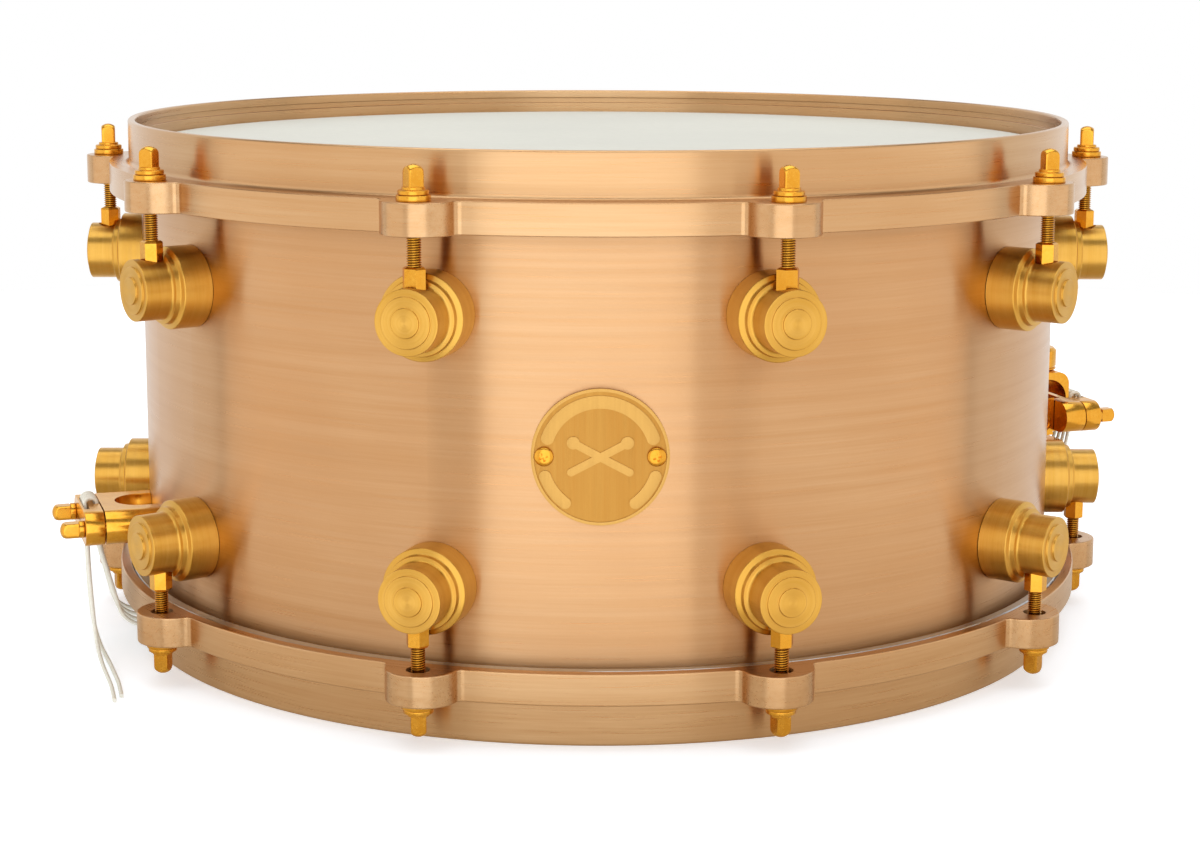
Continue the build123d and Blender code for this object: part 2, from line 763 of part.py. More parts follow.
for name, azimuth in (("wire_plate_butt", butt_azimuth), ("wire_plate_strainer", strainer_azimuth)):
    plate_plane = Plane(
        origin=radial_point((plate_inner + plate_outer) / 2, azimuth, plate_low),
        x_dir=outward(azimuth),
        z_dir=(0, 0, 1),
    )
    hole_offset = hole_reach - (plate_inner + plate_outer) / 2
    with BuildPart() as wire_plate:
        with BuildSketch(plate_plane):
            RectangleRounded(plate_outer - plate_inner, plate_width, 3)
            with Locations([(hole_offset, across) for across in cord_holes]):
                Circle(cord_hole_radius, mode=Mode.SUBTRACT)
        extrude(amount=plate_high - plate_low)
    wire_plate.part.label = name
    export_step(wire_plate.part, f"parts/{name}.step")

# ---- Snare cords -------------------------------------------------------------------------------
cord_height = 8.6
cord_under_plate = 5.4
cord_bend_radius_share = 0.45
butt_bend_drop = 1.3
strainer_bend_drop = 4.1
gate_pass = (190.5, 12.8)  # radius and height where a cord comes in under the hoop's collar
gate_exit_radius = 184.5


def corner_radii(points):
    """The largest arc that fits each corner of a route: 0.45 of the shorter run over tan(half turn)."""
    radii = []
    for before, corner, after in zip(points, points[1:], points[2:]):
        run_in = corner - before
        run_out = after - corner
        half_turn = radians(run_in.get_angle(run_out)) / 2
        radii.append(cord_bend_radius_share * min(run_in.length, run_out.length) / tan(half_turn))
    return radii


def build_cord(points):
    """A cord of straight runs joined by tangent arcs along these points."""
    with BuildPart() as cord:
        with BuildLine() as route:
            FilletPolyline(*points, radius=corner_radii(points))
        with BuildSketch(Plane(origin=points[0], z_dir=points[1] - points[0])):
            Circle(cord_radius)
        sweep(path=route.wires()[0])
    return cord.part, route.wires()[0].length


def strand_route(azimuth, face_radius, height, across, hole_across):
    """From the clamp's slot over its top, down its joint and under the hoop to the end plate's hole."""
    joint_radius = face_radius + cord_in_joint
    bend_drop = strainer_bend_drop if azimuth == strainer_azimuth else butt_bend_drop
    bend_height = height - clamp_height / 2 - bend_drop
    return [
        radial_point(face_radius + cord_in_slot, azimuth, height + cord_over_top, across),
        radial_point(joint_radius, azimuth, height + cord_over_top, across),
        radial_point(joint_radius, azimuth, bend_height, across),
        radial_point(gate_pass[0], azimuth, gate_pass[1], hole_across),
        radial_point(gate_exit_radius, azimuth, cord_height, hole_across),
        radial_point(hole_reach, azimuth, cord_height, hole_across),
    ]


def under_plate(azimuth, hole_across, height):
    """The point under the end plate below one of its holes."""
    return radial_point(hole_reach, azimuth, height, hole_across)


butt_strands = [
    strand_route(butt_azimuth, butt_face, butt_height, across, hole)
    for across, hole in zip(butt_cords, cord_holes)
]
slot_radius = butt_face + cord_in_slot
slot_bottom = butt_height - clamp_height / 2
tail_starts = [radial_point(slot_radius, butt_azimuth, slot_bottom, across) for across in tail_exits]
loop_height = butt_height - 0.7
long_run_height = cord_under_plate - 1.7
# One cord: in at the slot, to the wires and back twice, and out at the slot again.
butt_route = (
    [tail_starts[1]]
    + butt_strands[3]
    + [under_plate(butt_azimuth, cord_holes[3], long_run_height)]
    + [under_plate(butt_azimuth, cord_holes[0], long_run_height)]
    + butt_strands[0][::-1]
    + [radial_point(slot_radius, butt_azimuth, loop_height, butt_cords[0])]
    + [radial_point(slot_radius, butt_azimuth, loop_height, butt_cords[1])]
    + butt_strands[1]
    + [under_plate(butt_azimuth, cord_holes[1], cord_under_plate)]
    + [under_plate(butt_azimuth, cord_holes[2], cord_under_plate)]
    + butt_strands[2][::-1]
    + [tail_starts[0]]
)
with BuildPart() as butt_cord:
    butt_cord_solid, butt_cord_length = build_cord(butt_route)
    add(butt_cord_solid)
butt_cord.part.label = "butt_cord"
export_step(butt_cord.part, "parts/butt_cord.step")

# The two free ends hang from the clamp's slot and lie on the floor in front of the drum.
tail_routes = {
    "cord_tail_front": [
        tail_starts[1],
        Vector(-188.4, -73.9, 32.6),
        Vector(-187.2, -76.4, 21.2),
        Vector(-186.2, -77.7, 10.8),
        Vector(-184.0, -82.6, 3.0),
        Vector(-179.9, -94.8, 0.8),
        Vector(-175.6, -107.6, 0.8),
        Vector(-171.2, -121.2, 0.8),
        Vector(-167.8, -134.8, 0.8),
    ],
    "cord_tail_back": [
        tail_starts[0],
        Vector(-189.6, -70.4, 32.7),
        Vector(-188.6, -72.6, 21.6),
        Vector(-187.4, -73.7, 11.0),
        Vector(-184.2, -77.4, 3.2),
        Vector(-178.7, -89.2, 0.8),
        Vector(-174.2, -102.8, 0.8),
        Vector(-169.7, -116.2, 0.8),
        Vector(-166.4, -129.6, 0.8),
    ],
}
for name, points in tail_routes.items():
    with BuildPart() as cord_tail:
        tail_solid, tail_length = build_cord(points)
        add(tail_solid)
    cord_tail.part.label = name
    export_step(cord_tail.part, f"parts/{name}.step")
    filled = cord_tail.part.volume / (pi * cord_radius**2 * tail_length)
    print(name, "length", round(tail_length, 1), "volume against section x length", round(filled, 4))
    print(name, "radii", [round(radius, 1) for radius in corner_radii(points)])

# ---- Strainer (throw-off) ------------------------------------------------------------------------
# Named from the shell outwards: housing, adjuster block on its screw, carriage and clamp plate.
housing_face = 190.0
housing_half_width = 13.0
housing_low = 49.8
housing_high = 84.6
shelf_low = 73.6
shelf_half_width = 12.0
shelf_outer = 205.0
leg_high = 55.2
leg_outer = 203.5
leg_half_width = 9.8
tongue_half_width = 3.0
tongue_face = 191.6
knob_radial = 196.0
arch_radius = 8.2
arch_radial = 195.5
screw_shaft_radius = 2.5
running_gap = 0.05

with BuildPart() as strainer_housing:
    with BuildSketch(section_plane(strainer_azimuth, -housing_half_width)):
        with Locations(((shell_radius - 6 + housing_face) / 2, (housing_low + housing_high) / 2)):
            Rectangle(housing_face - shell_radius + 6, housing_high - housing_low)
    extrude(amount=-2 * housing_half_width)
    with BuildSketch(section_plane(strainer_azimuth, -shelf_half_width)):
        with Locations(((shell_radius + shelf_outer) / 2, (shelf_low + housing_high) / 2)):
            Rectangle(shelf_outer - shell_radius, housing_high - shelf_low)
    extrude(amount=-2 * shelf_half_width)
    top_edges = strainer_housing.edges().group_by(Axis.Z)[-1]
    fillet(top_edges.sort_by(Axis((0, 0, 0), outward(strainer_azimuth)))[-1], radius=5)
    with BuildSketch(section_plane(strainer_azimuth, -leg_half_width)):
        with Locations(((shell_radius + leg_outer) / 2, (housing_low + leg_high) / 2)):
            Rectangle(leg_outer - shell_radius, leg_high - housing_low)
    extrude(amount=-2 * leg_half_width)
    with BuildSketch(section_plane(strainer_azimuth, -tongue_half_width)):
        with Locations(((housing_face - 1 + tongue_face) / 2, (leg_high + shelf_low) / 2)):
            Rectangle(tongue_face - housing_face + 1, shelf_low - leg_high + 2)
    extrude(amount=-2 * tongue_half_width)
    with BuildSketch(Plane.XY.offset(housing_low - 1)):
        Circle(shell_radius + seat_gap)
    extrude(amount=housing_high - housing_low + 2, mode=Mode.SUBTRACT)
    # The arch over the adjuster block, and the bore for the knob's screw.
    with BuildSketch(section_plane(strainer_azimuth, -housing_half_width - 1)):
        with Locations((arch_radial, shelf_low - 0.1)):
            Circle(arch_radius)
    extrude(amount=-2 * housing_half_width - 2, mode=Mode.SUBTRACT)
    knob_point = radial_point(knob_radial, strainer_azimuth, shelf_low)
    with BuildSketch(Plane(origin=knob_point)):
        Circle(screw_shaft_radius + running_gap)
    extrude(amount=housing_high - shelf_low + 1, mode=Mode.SUBTRACT)
    for height in strainer_mount_heights:
        with BuildSketch(face_plane(strainer_azimuth, shell_radius - 2, height)):
            Circle(screw_radius + 0.05)
        extrude(amount=10.2, mode=Mode.SUBTRACT)
strainer_housing.part.label = "strainer_housing"
export_step(strainer_housing.part, "parts/strainer_housing.step")

with BuildPart() as strainer_mount_screws:
    for height in strainer_mount_heights:
        add(placed(lug_screw, strainer_azimuth, height))
strainer_mount_screws.part.label = "strainer_mount_screws"
export_step(strainer_mount_screws.part, "parts/strainer_mount_screws.step")

# The knob stands on the shelf and its screw reaches down into the adjuster block.
knob_low = housing_high + 0.1
knob_high = 94.0
knob_top = 98.5
knob_radius = 8.0
boss_radius = 5.3
screw_tip = 68.2
clip_low = 78.8
clip_high = 79.6
knob_axis = Axis(radial_point(knob_radial, strainer_azimuth), (0, 0, 1))

with BuildPart() as tension_knob:
    with BuildSketch(section_plane(strainer_azimuth)):
        with BuildLine():
            Polyline(
                (knob_radial + screw_shaft_radius + 0.02, knob_low),
                (knob_radial + knob_radius - 0.3, knob_low),
                (knob_radial + knob_radius, knob_low + 0.3),
                (knob_radial + knob_radius, knob_low + 0.8),
                (knob_radial + knob_radius - 0.7, knob_low + 1.0),
                (knob_radial + knob_radius - 0.7, knob_low + 1.5),
                (knob_radial + knob_radius, knob_low + 1.7),
                (knob_radial + knob_radius, knob_high - 1.2),
                (knob_radial + knob_radius - 1.2, knob_high),
                (knob_radial + boss_radius, knob_high),
                (knob_radial + boss_radius, knob_top - 0.6),
                (knob_radial + boss_radius - 0.6, knob_top),
                (knob_radial, knob_top),
                (knob_radial, knob_high - 1.0),
                (knob_radial + screw_shaft_radius + 0.02, knob_high - 1.0),
                (knob_radial + screw_shaft_radius + 0.02, knob_low),
            )
        make_face()
    revolve(axis=knob_axis)
tension_knob.part.label = "tension_knob"
export_step(tension_knob.part, "parts/tension_knob.step")

with BuildPart() as adjuster_screw:
    with BuildSketch(section_plane(strainer_azimuth)):
        with BuildLine():
            Polyline(
                (knob_radial, screw_tip),
                (knob_radial + screw_shaft_radius - 0.5, screw_tip),
                (knob_radial + screw_shaft_radius, screw_tip + 0.5),
                (knob_radial + screw_shaft_radius, clip_low),
                (knob_radial + 3.6, clip_low),
                (knob_radial + 3.6, clip_high),
                (knob_radial + screw_shaft_radius, clip_high),
                (knob_radial + screw_shaft_radius, knob_high - 1.1),
                (knob_radial, knob_high - 1.1),
                (knob_radial, screw_tip),
            )
        make_face()
    revolve(axis=knob_axis)
adjuster_screw.part.label = "adjuster_screw"
export_step(adjuster_screw.part, "parts/adjuster_screw.step")

# The adjuster block slides on the housing's tongue, carries the lever's shaft and guides the carriage.
block_back = 190.3
block_front = 199.4
block_half_width = 9.8
block_low = 57.6
block_high = 73.4
rail_neck = 3.0
rail_half_width = 5.5
rail_neck_face = 202.0
rail_face = 204.4
rail_low = 58.2
rail_high = 71.8
adjuster_bore_low = 67.0
shaft_pocket_radius = 3.6
shaft_radial = 194.9
shaft_height = 63.0
slide_gap = 0.15
shaft_point = radial_point(shaft_radial, strainer_azimuth, shaft_height)
along_shaft = radial_point(0, strainer_azimuth, 0, 1)


def shaft_plane(across):
    """A plane square to the lever's shaft: X outward from the drum, Y down."""
    return Plane(
        origin=shaft_point + across * along_shaft,
        x_dir=outward(strainer_azimuth),
        z_dir=along_shaft,
    )


def box_between(inner, outer, low, high, half_width, mode=Mode.ADD):
    """A block between two radii and two heights, centred on the strainer's azimuth."""
    near_face = face_plane(strainer_azimuth, inner, (low + high) / 2)
    with BuildSketch(near_face, mode=Mode.PRIVATE) as section:
        Rectangle(2 * half_width, high - low)
    extrude(section.sketch, amount=outer - inner, mode=mode)


with BuildPart() as adjuster_block:
    box_between(block_back, block_front, block_low, block_high, block_half_width)
    box_between(block_front - 1, rail_neck_face, rail_low, rail_high, rail_neck)
    box_between(rail_neck_face, rail_face, rail_low, rail_high, rail_half_width)
    box_between(
        block_back - 1,
        tongue_face + slide_gap,
        block_low - 1,
        block_high + 1,
        tongue_half_width + slide_gap,
        Mode.SUBTRACT,
    )
    with BuildSketch(shaft_plane(-block_half_width - 1)):
        Circle(screw_shaft_radius + running_gap)
    extrude(amount=2 * block_half_width + 2, mode=Mode.SUBTRACT)
    # A pocket in the side where the end of the lever's shaft shows.
    with BuildSketch(shaft_plane(-block_half_width - 1)):
        Circle(shaft_pocket_radius)
    extrude(amount=2.2, mode=Mode.SUBTRACT)
    with BuildSketch(Plane(origin=radial_point(knob_radial, strainer_azimuth, adjuster_bore_low))):
        Circle(screw_shaft_radius + running_gap)
    extrude(amount=block_high - adjuster_bore_low + 1, mode=Mode.SUBTRACT)
adjuster_block.part.label = "adjuster_block"
export_step(adjuster_block.part, "parts/adjuster_block.step")

# The lever stands up at the far side of the strainer and its shaft carries the lifting cam.
lever_near = 21.6
lever_far = 25.4
lever_reach = 43.0
lever_root_radius = 6.2
lever_tip_radius = 4.6
shaft_start = -9.4
shaft_collar_radius = 3.8
cam_near = 10.4
cam_far = 14.8
cam_hub_radius = 4.0
cam_tip_radius = 2.6
cam_throw = 3.6

with BuildPart() as lever_shaft:
    with BuildSketch(shaft_plane(shaft_start)):
        Circle(screw_shaft_radius)
    extrude(amount=lever_far - shaft_start + 0.2)
    with BuildSketch(shaft_plane(cam_near)) as cam_section:
        Circle(cam_hub_radius)
        with Locations((cam_throw, 0)):
            Circle(cam_tip_radius)
        make_hull()
    extrude(amount=cam_far - cam_near)
    with BuildSketch(shaft_plane(lever_near - 2.0)):
        Circle(shaft_collar_radius)
    extrude(amount=1.95)
    with BuildSketch(shaft_plane(lever_far + 0.05)):
        Circle(shaft_collar_radius)
    extrude(amount=1.6, taper=20)
lever_shaft.part.label = "lever_shaft"
export_step(lever_shaft.part, "parts/lever_shaft.step")

with BuildPart() as lever:
    with BuildSketch(shaft_plane(lever_near)) as lever_section:
        Circle(lever_root_radius)
        with Locations((0, -lever_reach)):
            Circle(lever_tip_radius)
        make_hull()
        Circle(screw_shaft_radius + 0.02, mode=Mode.SUBTRACT)
    extrude(amount=lever_far - lever_near)
    chamfer(lever.faces().sort_by(Axis(shaft_point, along_shaft))[-1].outer_wire().edges(), length=0.6)
lever.part.label = "lever"
export_step(lever.part, "parts/lever.step")

# The carriage slides on the adjuster block's rail and holds the strainer's end of the cord.
carriage_back = 199.6
carriage_outer = 208.6
strainer_face = carriage_outer + clamp_joint
with BuildPart() as carriage:
    with BuildSketch(face_plane(strainer_azimuth, carriage_back, strainer_height)):
        SlotOverall(2 * clamp_half_width, clamp_height)
    extrude(amount=carriage_outer - carriage_back)
    slot_low = strainer_height - clamp_height
    slot_high = strainer_height + clamp_height
    box_between(
        carriage_back - 1,
        rail_neck_face + slide_gap,
        slot_low,
        slot_high,
        rail_neck + slide_gap,
        Mode.SUBTRACT,
    )
    box_between(
        rail_neck_face - slide_gap,
        rail_face + slide_gap,
        slot_low,
        slot_high,
        rail_half_width + slide_gap,
        Mode.SUBTRACT,
    )
    # A pocket for the lever's cam, open at the bottom.
    cam_pocket_low = strainer_height - clamp_height
    cam_pocket_high = shaft_height + cam_tip_radius + 0.4
    with BuildSketch(face_plane(strainer_azimuth, carriage_back - 1)):
        with Locations(((cam_near + cam_far) / 2, (cam_pocket_low + cam_pocket_high) / 2)):
            Rectangle(cam_far - cam_near + 1.0, cam_pocket_high - cam_pocket_low)
    extrude(amount=4.3, mode=Mode.SUBTRACT)
    drill_block(strainer_azimuth, carriage_outer, strainer_height)
carriage.part.label = "carriage"
export_step(carriage.part, "parts/carriage.step")

strainer_cords = [-4.8, -1.6, 1.6, 4.8]
with BuildPart() as strainer_clamp:
    add(build_clamp(strainer_azimuth, strainer_face, strainer_height, -5.8, 5.8, 7.0))
strainer_clamp.part.label = "strainer_clamp"
export_step(strainer_clamp.part, "parts/strainer_clamp.step")

with BuildPart() as strainer_clamp_screws:
    add(build_clamp_screws(strainer_azimuth, strainer_face, strainer_height))
strainer_clamp_screws.part.label = "strainer_clamp_screws"
export_step(strainer_clamp_screws.part, "parts/strainer_clamp_screws.step")

strainer_strands = [
    strand_route(strainer_azimuth, strainer_face, strainer_height, across, hole)
    for across, hole in zip(strainer_cords, cord_holes)
]
strainer_slot = strainer_face + cord_in_slot
strainer_ends = [
    radial_point(strainer_slot, strainer_azimuth, strainer_height - 3.0, across)
    for across in strainer_cords
]
strainer_loop = [
    radial_point(strainer_slot, strainer_azimuth, strainer_height - 0.7, across)
    for across in strainer_cords
]
strainer_route = (
    [strainer_ends[0]]
    + strainer_strands[0]
    + [under_plate(strainer_azimuth, cord_holes[0], cord_under_plate)]
    + [under_plate(strainer_azimuth, cord_holes[1], cord_under_plate)]
    + strainer_strands[1][::-1]
    + [strainer_loop[1], strainer_loop[2]]
    + strainer_strands[2]
    + [under_plate(strainer_azimuth, cord_holes[2], cord_under_plate)]
    + [under_plate(strainer_azimuth, cord_holes[3], cord_under_plate)]
    + strainer_strands[3][::-1]
    + [strainer_ends[3]]
)
with BuildPart() as strainer_cord:
    strainer_cord_solid, strainer_cord_length = build_cord(strainer_route)
    add(strainer_cord_solid)
strainer_cord.part.label = "strainer_cord"
export_step(strainer_cord.part, "parts/strainer_cord.step")
print("held cord", round(butt_cord_length, 1), "and", round(strainer_cord_length, 1))
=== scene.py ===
import json
from math import acos, atan2, cos, pi, radians, sin
import bmesh
import bpy
from mathutils import Matrix, Vector

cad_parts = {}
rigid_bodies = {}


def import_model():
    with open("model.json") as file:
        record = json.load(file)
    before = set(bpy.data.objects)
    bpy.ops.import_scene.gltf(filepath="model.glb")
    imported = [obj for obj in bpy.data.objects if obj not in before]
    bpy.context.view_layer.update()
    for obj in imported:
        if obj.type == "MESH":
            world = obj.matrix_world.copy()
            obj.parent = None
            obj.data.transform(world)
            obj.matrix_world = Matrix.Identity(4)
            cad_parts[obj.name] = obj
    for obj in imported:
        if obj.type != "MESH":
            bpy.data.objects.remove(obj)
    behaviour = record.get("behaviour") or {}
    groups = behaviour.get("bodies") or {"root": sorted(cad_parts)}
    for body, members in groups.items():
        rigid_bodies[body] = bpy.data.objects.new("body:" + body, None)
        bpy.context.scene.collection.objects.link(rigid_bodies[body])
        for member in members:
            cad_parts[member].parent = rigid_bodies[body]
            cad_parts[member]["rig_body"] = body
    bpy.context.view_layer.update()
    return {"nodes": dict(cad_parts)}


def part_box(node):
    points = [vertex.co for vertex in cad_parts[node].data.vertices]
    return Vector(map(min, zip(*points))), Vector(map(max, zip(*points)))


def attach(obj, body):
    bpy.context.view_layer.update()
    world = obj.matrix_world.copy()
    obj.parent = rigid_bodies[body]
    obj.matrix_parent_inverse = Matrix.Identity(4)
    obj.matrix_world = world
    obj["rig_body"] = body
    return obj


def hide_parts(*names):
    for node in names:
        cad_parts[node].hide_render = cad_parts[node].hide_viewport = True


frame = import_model()
nodes = frame["nodes"]
BODY_OF = {name: obj["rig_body"] for name, obj in nodes.items()}

# ---- Driving measures, in metres, all heights from the floor under the snare-side rim ------------
MM = 0.001
DRUM_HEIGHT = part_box("batter_hoop")[1].z
BATTER_LUG_HEIGHT = 141.6 * MM
SNARE_LUG_HEIGHT = 51.3 * MM
ROD_COUNT = 10
ROD_CIRCLE = 191.25 * MM
SNARE_GATES = (-72, 108)
ROD_CREST = 2.4 * MM
BADGE_FACE = 177.0 * MM
ROD_AZIMUTHS = [360 / ROD_COUNT * (index + 0.5) for index in range(ROD_COUNT)]


def linear(code):
    """The linear colour of an sRGB code such as d9a340."""
    values = [int(code[i:i + 2], 16) / 255 for i in (0, 2, 4)]
    return [v / 12.92 if v <= 0.04045 else ((v + 0.055) / 1.055) ** 2.4 for v in values]


# ---- Camera --------------------------------------------------------------------------------------
CAMERA_PLACE = (-0.00503, -0.9156, 0.25295)
CAMERA_PITCH = radians(9.412)
CAMERA_YAW = 0.0065
CAMERA_ROLL = 0.0031


def make_camera():
    """A long lens a little above the batter head, turned down towards the drum."""
    data = bpy.data.cameras.new("camera")
    data.sensor_width = 36.0
    data.lens = 70.17
    data.shift_y = -0.059
    data.clip_start = 0.05
    data.clip_end = 60.0
    forward = Vector((sin(CAMERA_YAW) * cos(CAMERA_PITCH), cos(CAMERA_YAW) * cos(CAMERA_PITCH),
                      -sin(CAMERA_PITCH)))
    right = Vector((cos(CAMERA_YAW), -sin(CAMERA_YAW), 0))
    up = right.cross(forward)
    across = cos(CAMERA_ROLL) * right + sin(CAMERA_ROLL) * up
    upward = cos(CAMERA_ROLL) * up - sin(CAMERA_ROLL) * right
    camera = bpy.data.objects.new("camera", data)
    turn = Matrix((across, upward, -forward)).transposed().to_4x4()
    camera.matrix_world = Matrix.Translation(CAMERA_PLACE) @ turn
    bpy.context.scene.collection.objects.link(camera)
    bpy.context.scene.camera = camera


# ---- Light and floor -------------------------------------------------------------------------------
WHITE = (1.0, 1.0, 1.0)
WARM = (1.0, 0.91, 0.82)
PANEL_CIRCLE = 1.5
PANEL_MIDDLE = 0.0
PANEL_TALL = 2.2
PANELS = [
    ("softbox_front", -26.5, 21.5, 1.25, WHITE),
    ("softbox_left", -98, -37, 0.72, WARM),
    ("softbox_right", 31.5, 96, 0.72, WARM),
    ("fill_left", -36.5, -27, 0.6, WARM),
    ("fill_right", 22, 31, 0.74, WARM),
    ("softbox_back_left", -178, -100, 0.52, WHITE),
    ("softbox_back_right", 98, 178, 0.52, WHITE),
]
TOP_HEIGHT = 1.7
TOP_WIDTH = 2.0
TOP_RADIANCE = 1.35
FLOOR_RADIUS = 1.0
FLOOR_SHADE_RADIUS = 0.27
SURROUND_RADIUS = 20.0


def softbox(name, azimuth, distance, height, width, tall, radiance, tint):
    """A soft light at this azimuth from -Y towards +X that faces the drum."""
    data = bpy.data.lights.new(name, "AREA")
    data.shape = "RECTANGLE"
    data.size = width
    data.size_y = tall
    data.energy = 4 * width * tall * radiance
    data.color = tint
    light = bpy.data.objects.new(name, data)
    place = Vector((sin(radians(azimuth)) * distance, -cos(radians(azimuth)) * distance, height))
    target = Vector((0, 0, height))
    light.location = place
    light.rotation_euler = (target - place).to_track_quat("-Z", "Y").to_euler()
    light.visible_camera = False
    bpy.context.scene.collection.objects.link(light)
    return light


def panel(name, first, last, radiance, tint):
    """A tall softbox that spans these azimuths, its edges on a circle round the drum."""
    half = radians(last - first) / 2
    softbox(name, (first + last) / 2, PANEL_CIRCLE * cos(half), PANEL_MIDDLE,
            2 * PANEL_CIRCLE * sin(half), PANEL_TALL, radiance, tint)


def make_light():
    """Tall panels all round the drum, a large one overhead, and an even warm surround."""
    for name, first, last, radiance, tint in PANELS:
        panel(name, first, last, radiance, tint)
    top = softbox("softbox_top", 180, 0.1, TOP_HEIGHT, TOP_WIDTH, TOP_WIDTH, TOP_RADIANCE, WHITE)
    top.rotation_euler = (0, 0, 0)
    world = bpy.data.worlds.new("studio")
    world.use_nodes = True
    background = world.node_tree.nodes["Background"]
    background.inputs["Color"].default_value = (1.0, 0.97, 0.94, 1)
    background.inputs["Strength"].default_value = 0.34
    bpy.context.scene.world = world
    bpy.context.scene.view_settings.view_transform = "Standard"


def mesh_object(name, bm, smooth_angle=None):
    """A linked object made from a bmesh, smooth except over edges sharper than the angle."""
    mesh = bpy.data.meshes.new(name)
    bmesh.ops.recalc_face_normals(bm, faces=bm.faces)
    if smooth_angle is not None:
        for face in bm.faces:
            face.smooth = True
        for edge in bm.edges:
            if len(edge.link_faces) == 2 and edge.calc_face_angle() > smooth_angle:
                edge.smooth = False
    bm.to_mesh(mesh)
    bm.free()
    obj = bpy.data.objects.new(name, mesh)
    bpy.context.scene.collection.objects.link(obj)
    return obj


def disc(name, radius):
    bm = bmesh.new()
    bmesh.ops.create_circle(bm, cap_ends=True, radius=radius, segments=128)
    return mesh_object(name, bm)


def make_floor():
    """A pale floor with a little light of its own."""
    floor = disc("floor", FLOOR_RADIUS)
    material = bpy.data.materials.new("floor_paint")
    material.use_nodes = True
    paint = material.node_tree.nodes["Principled BSDF"]
    paint.inputs["Base Color"].default_value = (0.80, 0.86, 0.93, 1)
    paint.inputs["Roughness"].default_value = 0.9
    paint.inputs["Specular IOR Level"].default_value = 0.0
    paint.inputs["Emission Color"].default_value = (1, 1, 1, 1)
    paint.inputs["Emission Strength"].default_value = 0.4
    floor.data.materials.append(material)
    floor.visible_glossy = False
    floor.visible_shadow = False
    return floor


def make_floor_shade():
    """A darker disc just under the floor, which only the drum's metal reflects."""
    shade = disc("floor_shade", FLOOR_SHADE_RADIUS)
    shade.location.z = -0.5 * MM
    dim = bpy.data.materials.new("floor_dim")
    dim.use_nodes = True
    dim.node_tree.nodes["Principled BSDF"].inputs["Base Color"].default_value = (0.6, 0.5, 0.38, 1)
    shade.data.materials.append(dim)
    shade.visible_camera = False
    shade.visible_diffuse = False
    return shade


def make_surround():
    """A white sphere that only the camera sees."""
    bm = bmesh.new()
    bmesh.ops.create_icosphere(bm, subdivisions=4, radius=SURROUND_RADIUS)
    surround = mesh_object("surround", bm)
    glow = bpy.data.materials.new("surround_white")
    glow.use_nodes = True
    tree = glow.node_tree
    tree.nodes.clear()
    emission = tree.nodes.new("ShaderNodeEmission")
    output = tree.nodes.new("ShaderNodeOutputMaterial")
    tree.links.new(emission.outputs[0], output.inputs["Surface"])
    surround.data.materials.append(glow)
    for flag in ("diffuse", "glossy", "transmission", "volume_scatter", "shadow"):
        setattr(surround, "visible_" + flag, False)
    return surround


# ---- Materials ---------------------------------------------------------------------------------
class Finish:
    """A material's nodes: helpers that make a node, link its inputs and give back its output."""

    def __init__(self, name, **values):
        self.material = bpy.data.materials.new(name)
        self.material.use_nodes = True
        self.tree = self.material.node_tree
        self.surface = self.tree.nodes["Principled BSDF"]
        for socket, value in values.items():
            self.set(socket.replace("_", " "), value)
        self.place = self.tree.nodes.new("ShaderNodeTexCoord").outputs["Object"]

    def set(self, socket, value):
        target = next(i for i in self.surface.inputs if i.name.lower() == socket.lower())
        if isinstance(value, bpy.types.NodeSocket):
            self.tree.links.new(value, target)
        else:
            target.default_value = value

    def feed(self, node, index, value):
        if isinstance(value, bpy.types.NodeSocket):
            self.tree.links.new(value, node.inputs[index])
        else:
            node.inputs[index].default_value = value

    def math(self, operation, *values):
        node = self.tree.nodes.new("ShaderNodeMath")
        node.operation = operation
        for index, value in enumerate(values):
            self.feed(node, index, value)
        return node.outputs[0]

    def vector(self, operation, *values):
        node = self.tree.nodes.new("ShaderNodeVectorMath")
        node.operation = operation
        for index, value in enumerate(values):
            self.feed(node, index, value)
        return node.outputs["Value" if operation in ("DOT_PRODUCT", "LENGTH") else "Vector"]

    def split(self, vector):
        node = self.tree.nodes.new("ShaderNodeSeparateXYZ")
        self.tree.links.new(vector, node.inputs[0])
        return node.outputs

    def join(self, x, y, z):
        node = self.tree.nodes.new("ShaderNodeCombineXYZ")
        for index, value in enumerate((x, y, z)):
            self.feed(node, index, value)
        return node.outputs[0]

    def noise(self, vector, scale=1.0, detail=2.0, roughness=0.5):
        node = self.tree.nodes.new("ShaderNodeTexNoise")
        self.tree.links.new(vector, node.inputs["Vector"])
        node.inputs["Scale"].default_value = scale
        node.inputs["Detail"].default_value = detail
        node.inputs["Roughness"].default_value = roughness
        return node.outputs["Fac"]

    def span(self, value, low, high, new_low, new_high):
        node = self.tree.nodes.new("ShaderNodeMapRange")
        for index, number in enumerate((value, low, high, new_low, new_high)):
            self.feed(node, index, number)
        return node.outputs[0]

    def mix(self, factor, first, second):
        node = self.tree.nodes.new("ShaderNodeMix")
        node.data_type = "RGBA"
        self.feed(node, 0, factor)
        for index, colour in ((6, first), (7, second)):
            value = colour if isinstance(colour, bpy.types.NodeSocket) else (*colour, 1)
            self.feed(node, index, value)
        return node.outputs[2]

    def bump(self, height, distance, strength=1.0):
        node = self.tree.nodes.new("ShaderNodeBump")
        node.inputs["Strength"].default_value = strength
        node.inputs["Distance"].default_value = distance
        self.tree.links.new(height, node.inputs["Height"])
        self.set("Normal", node.outputs[0])


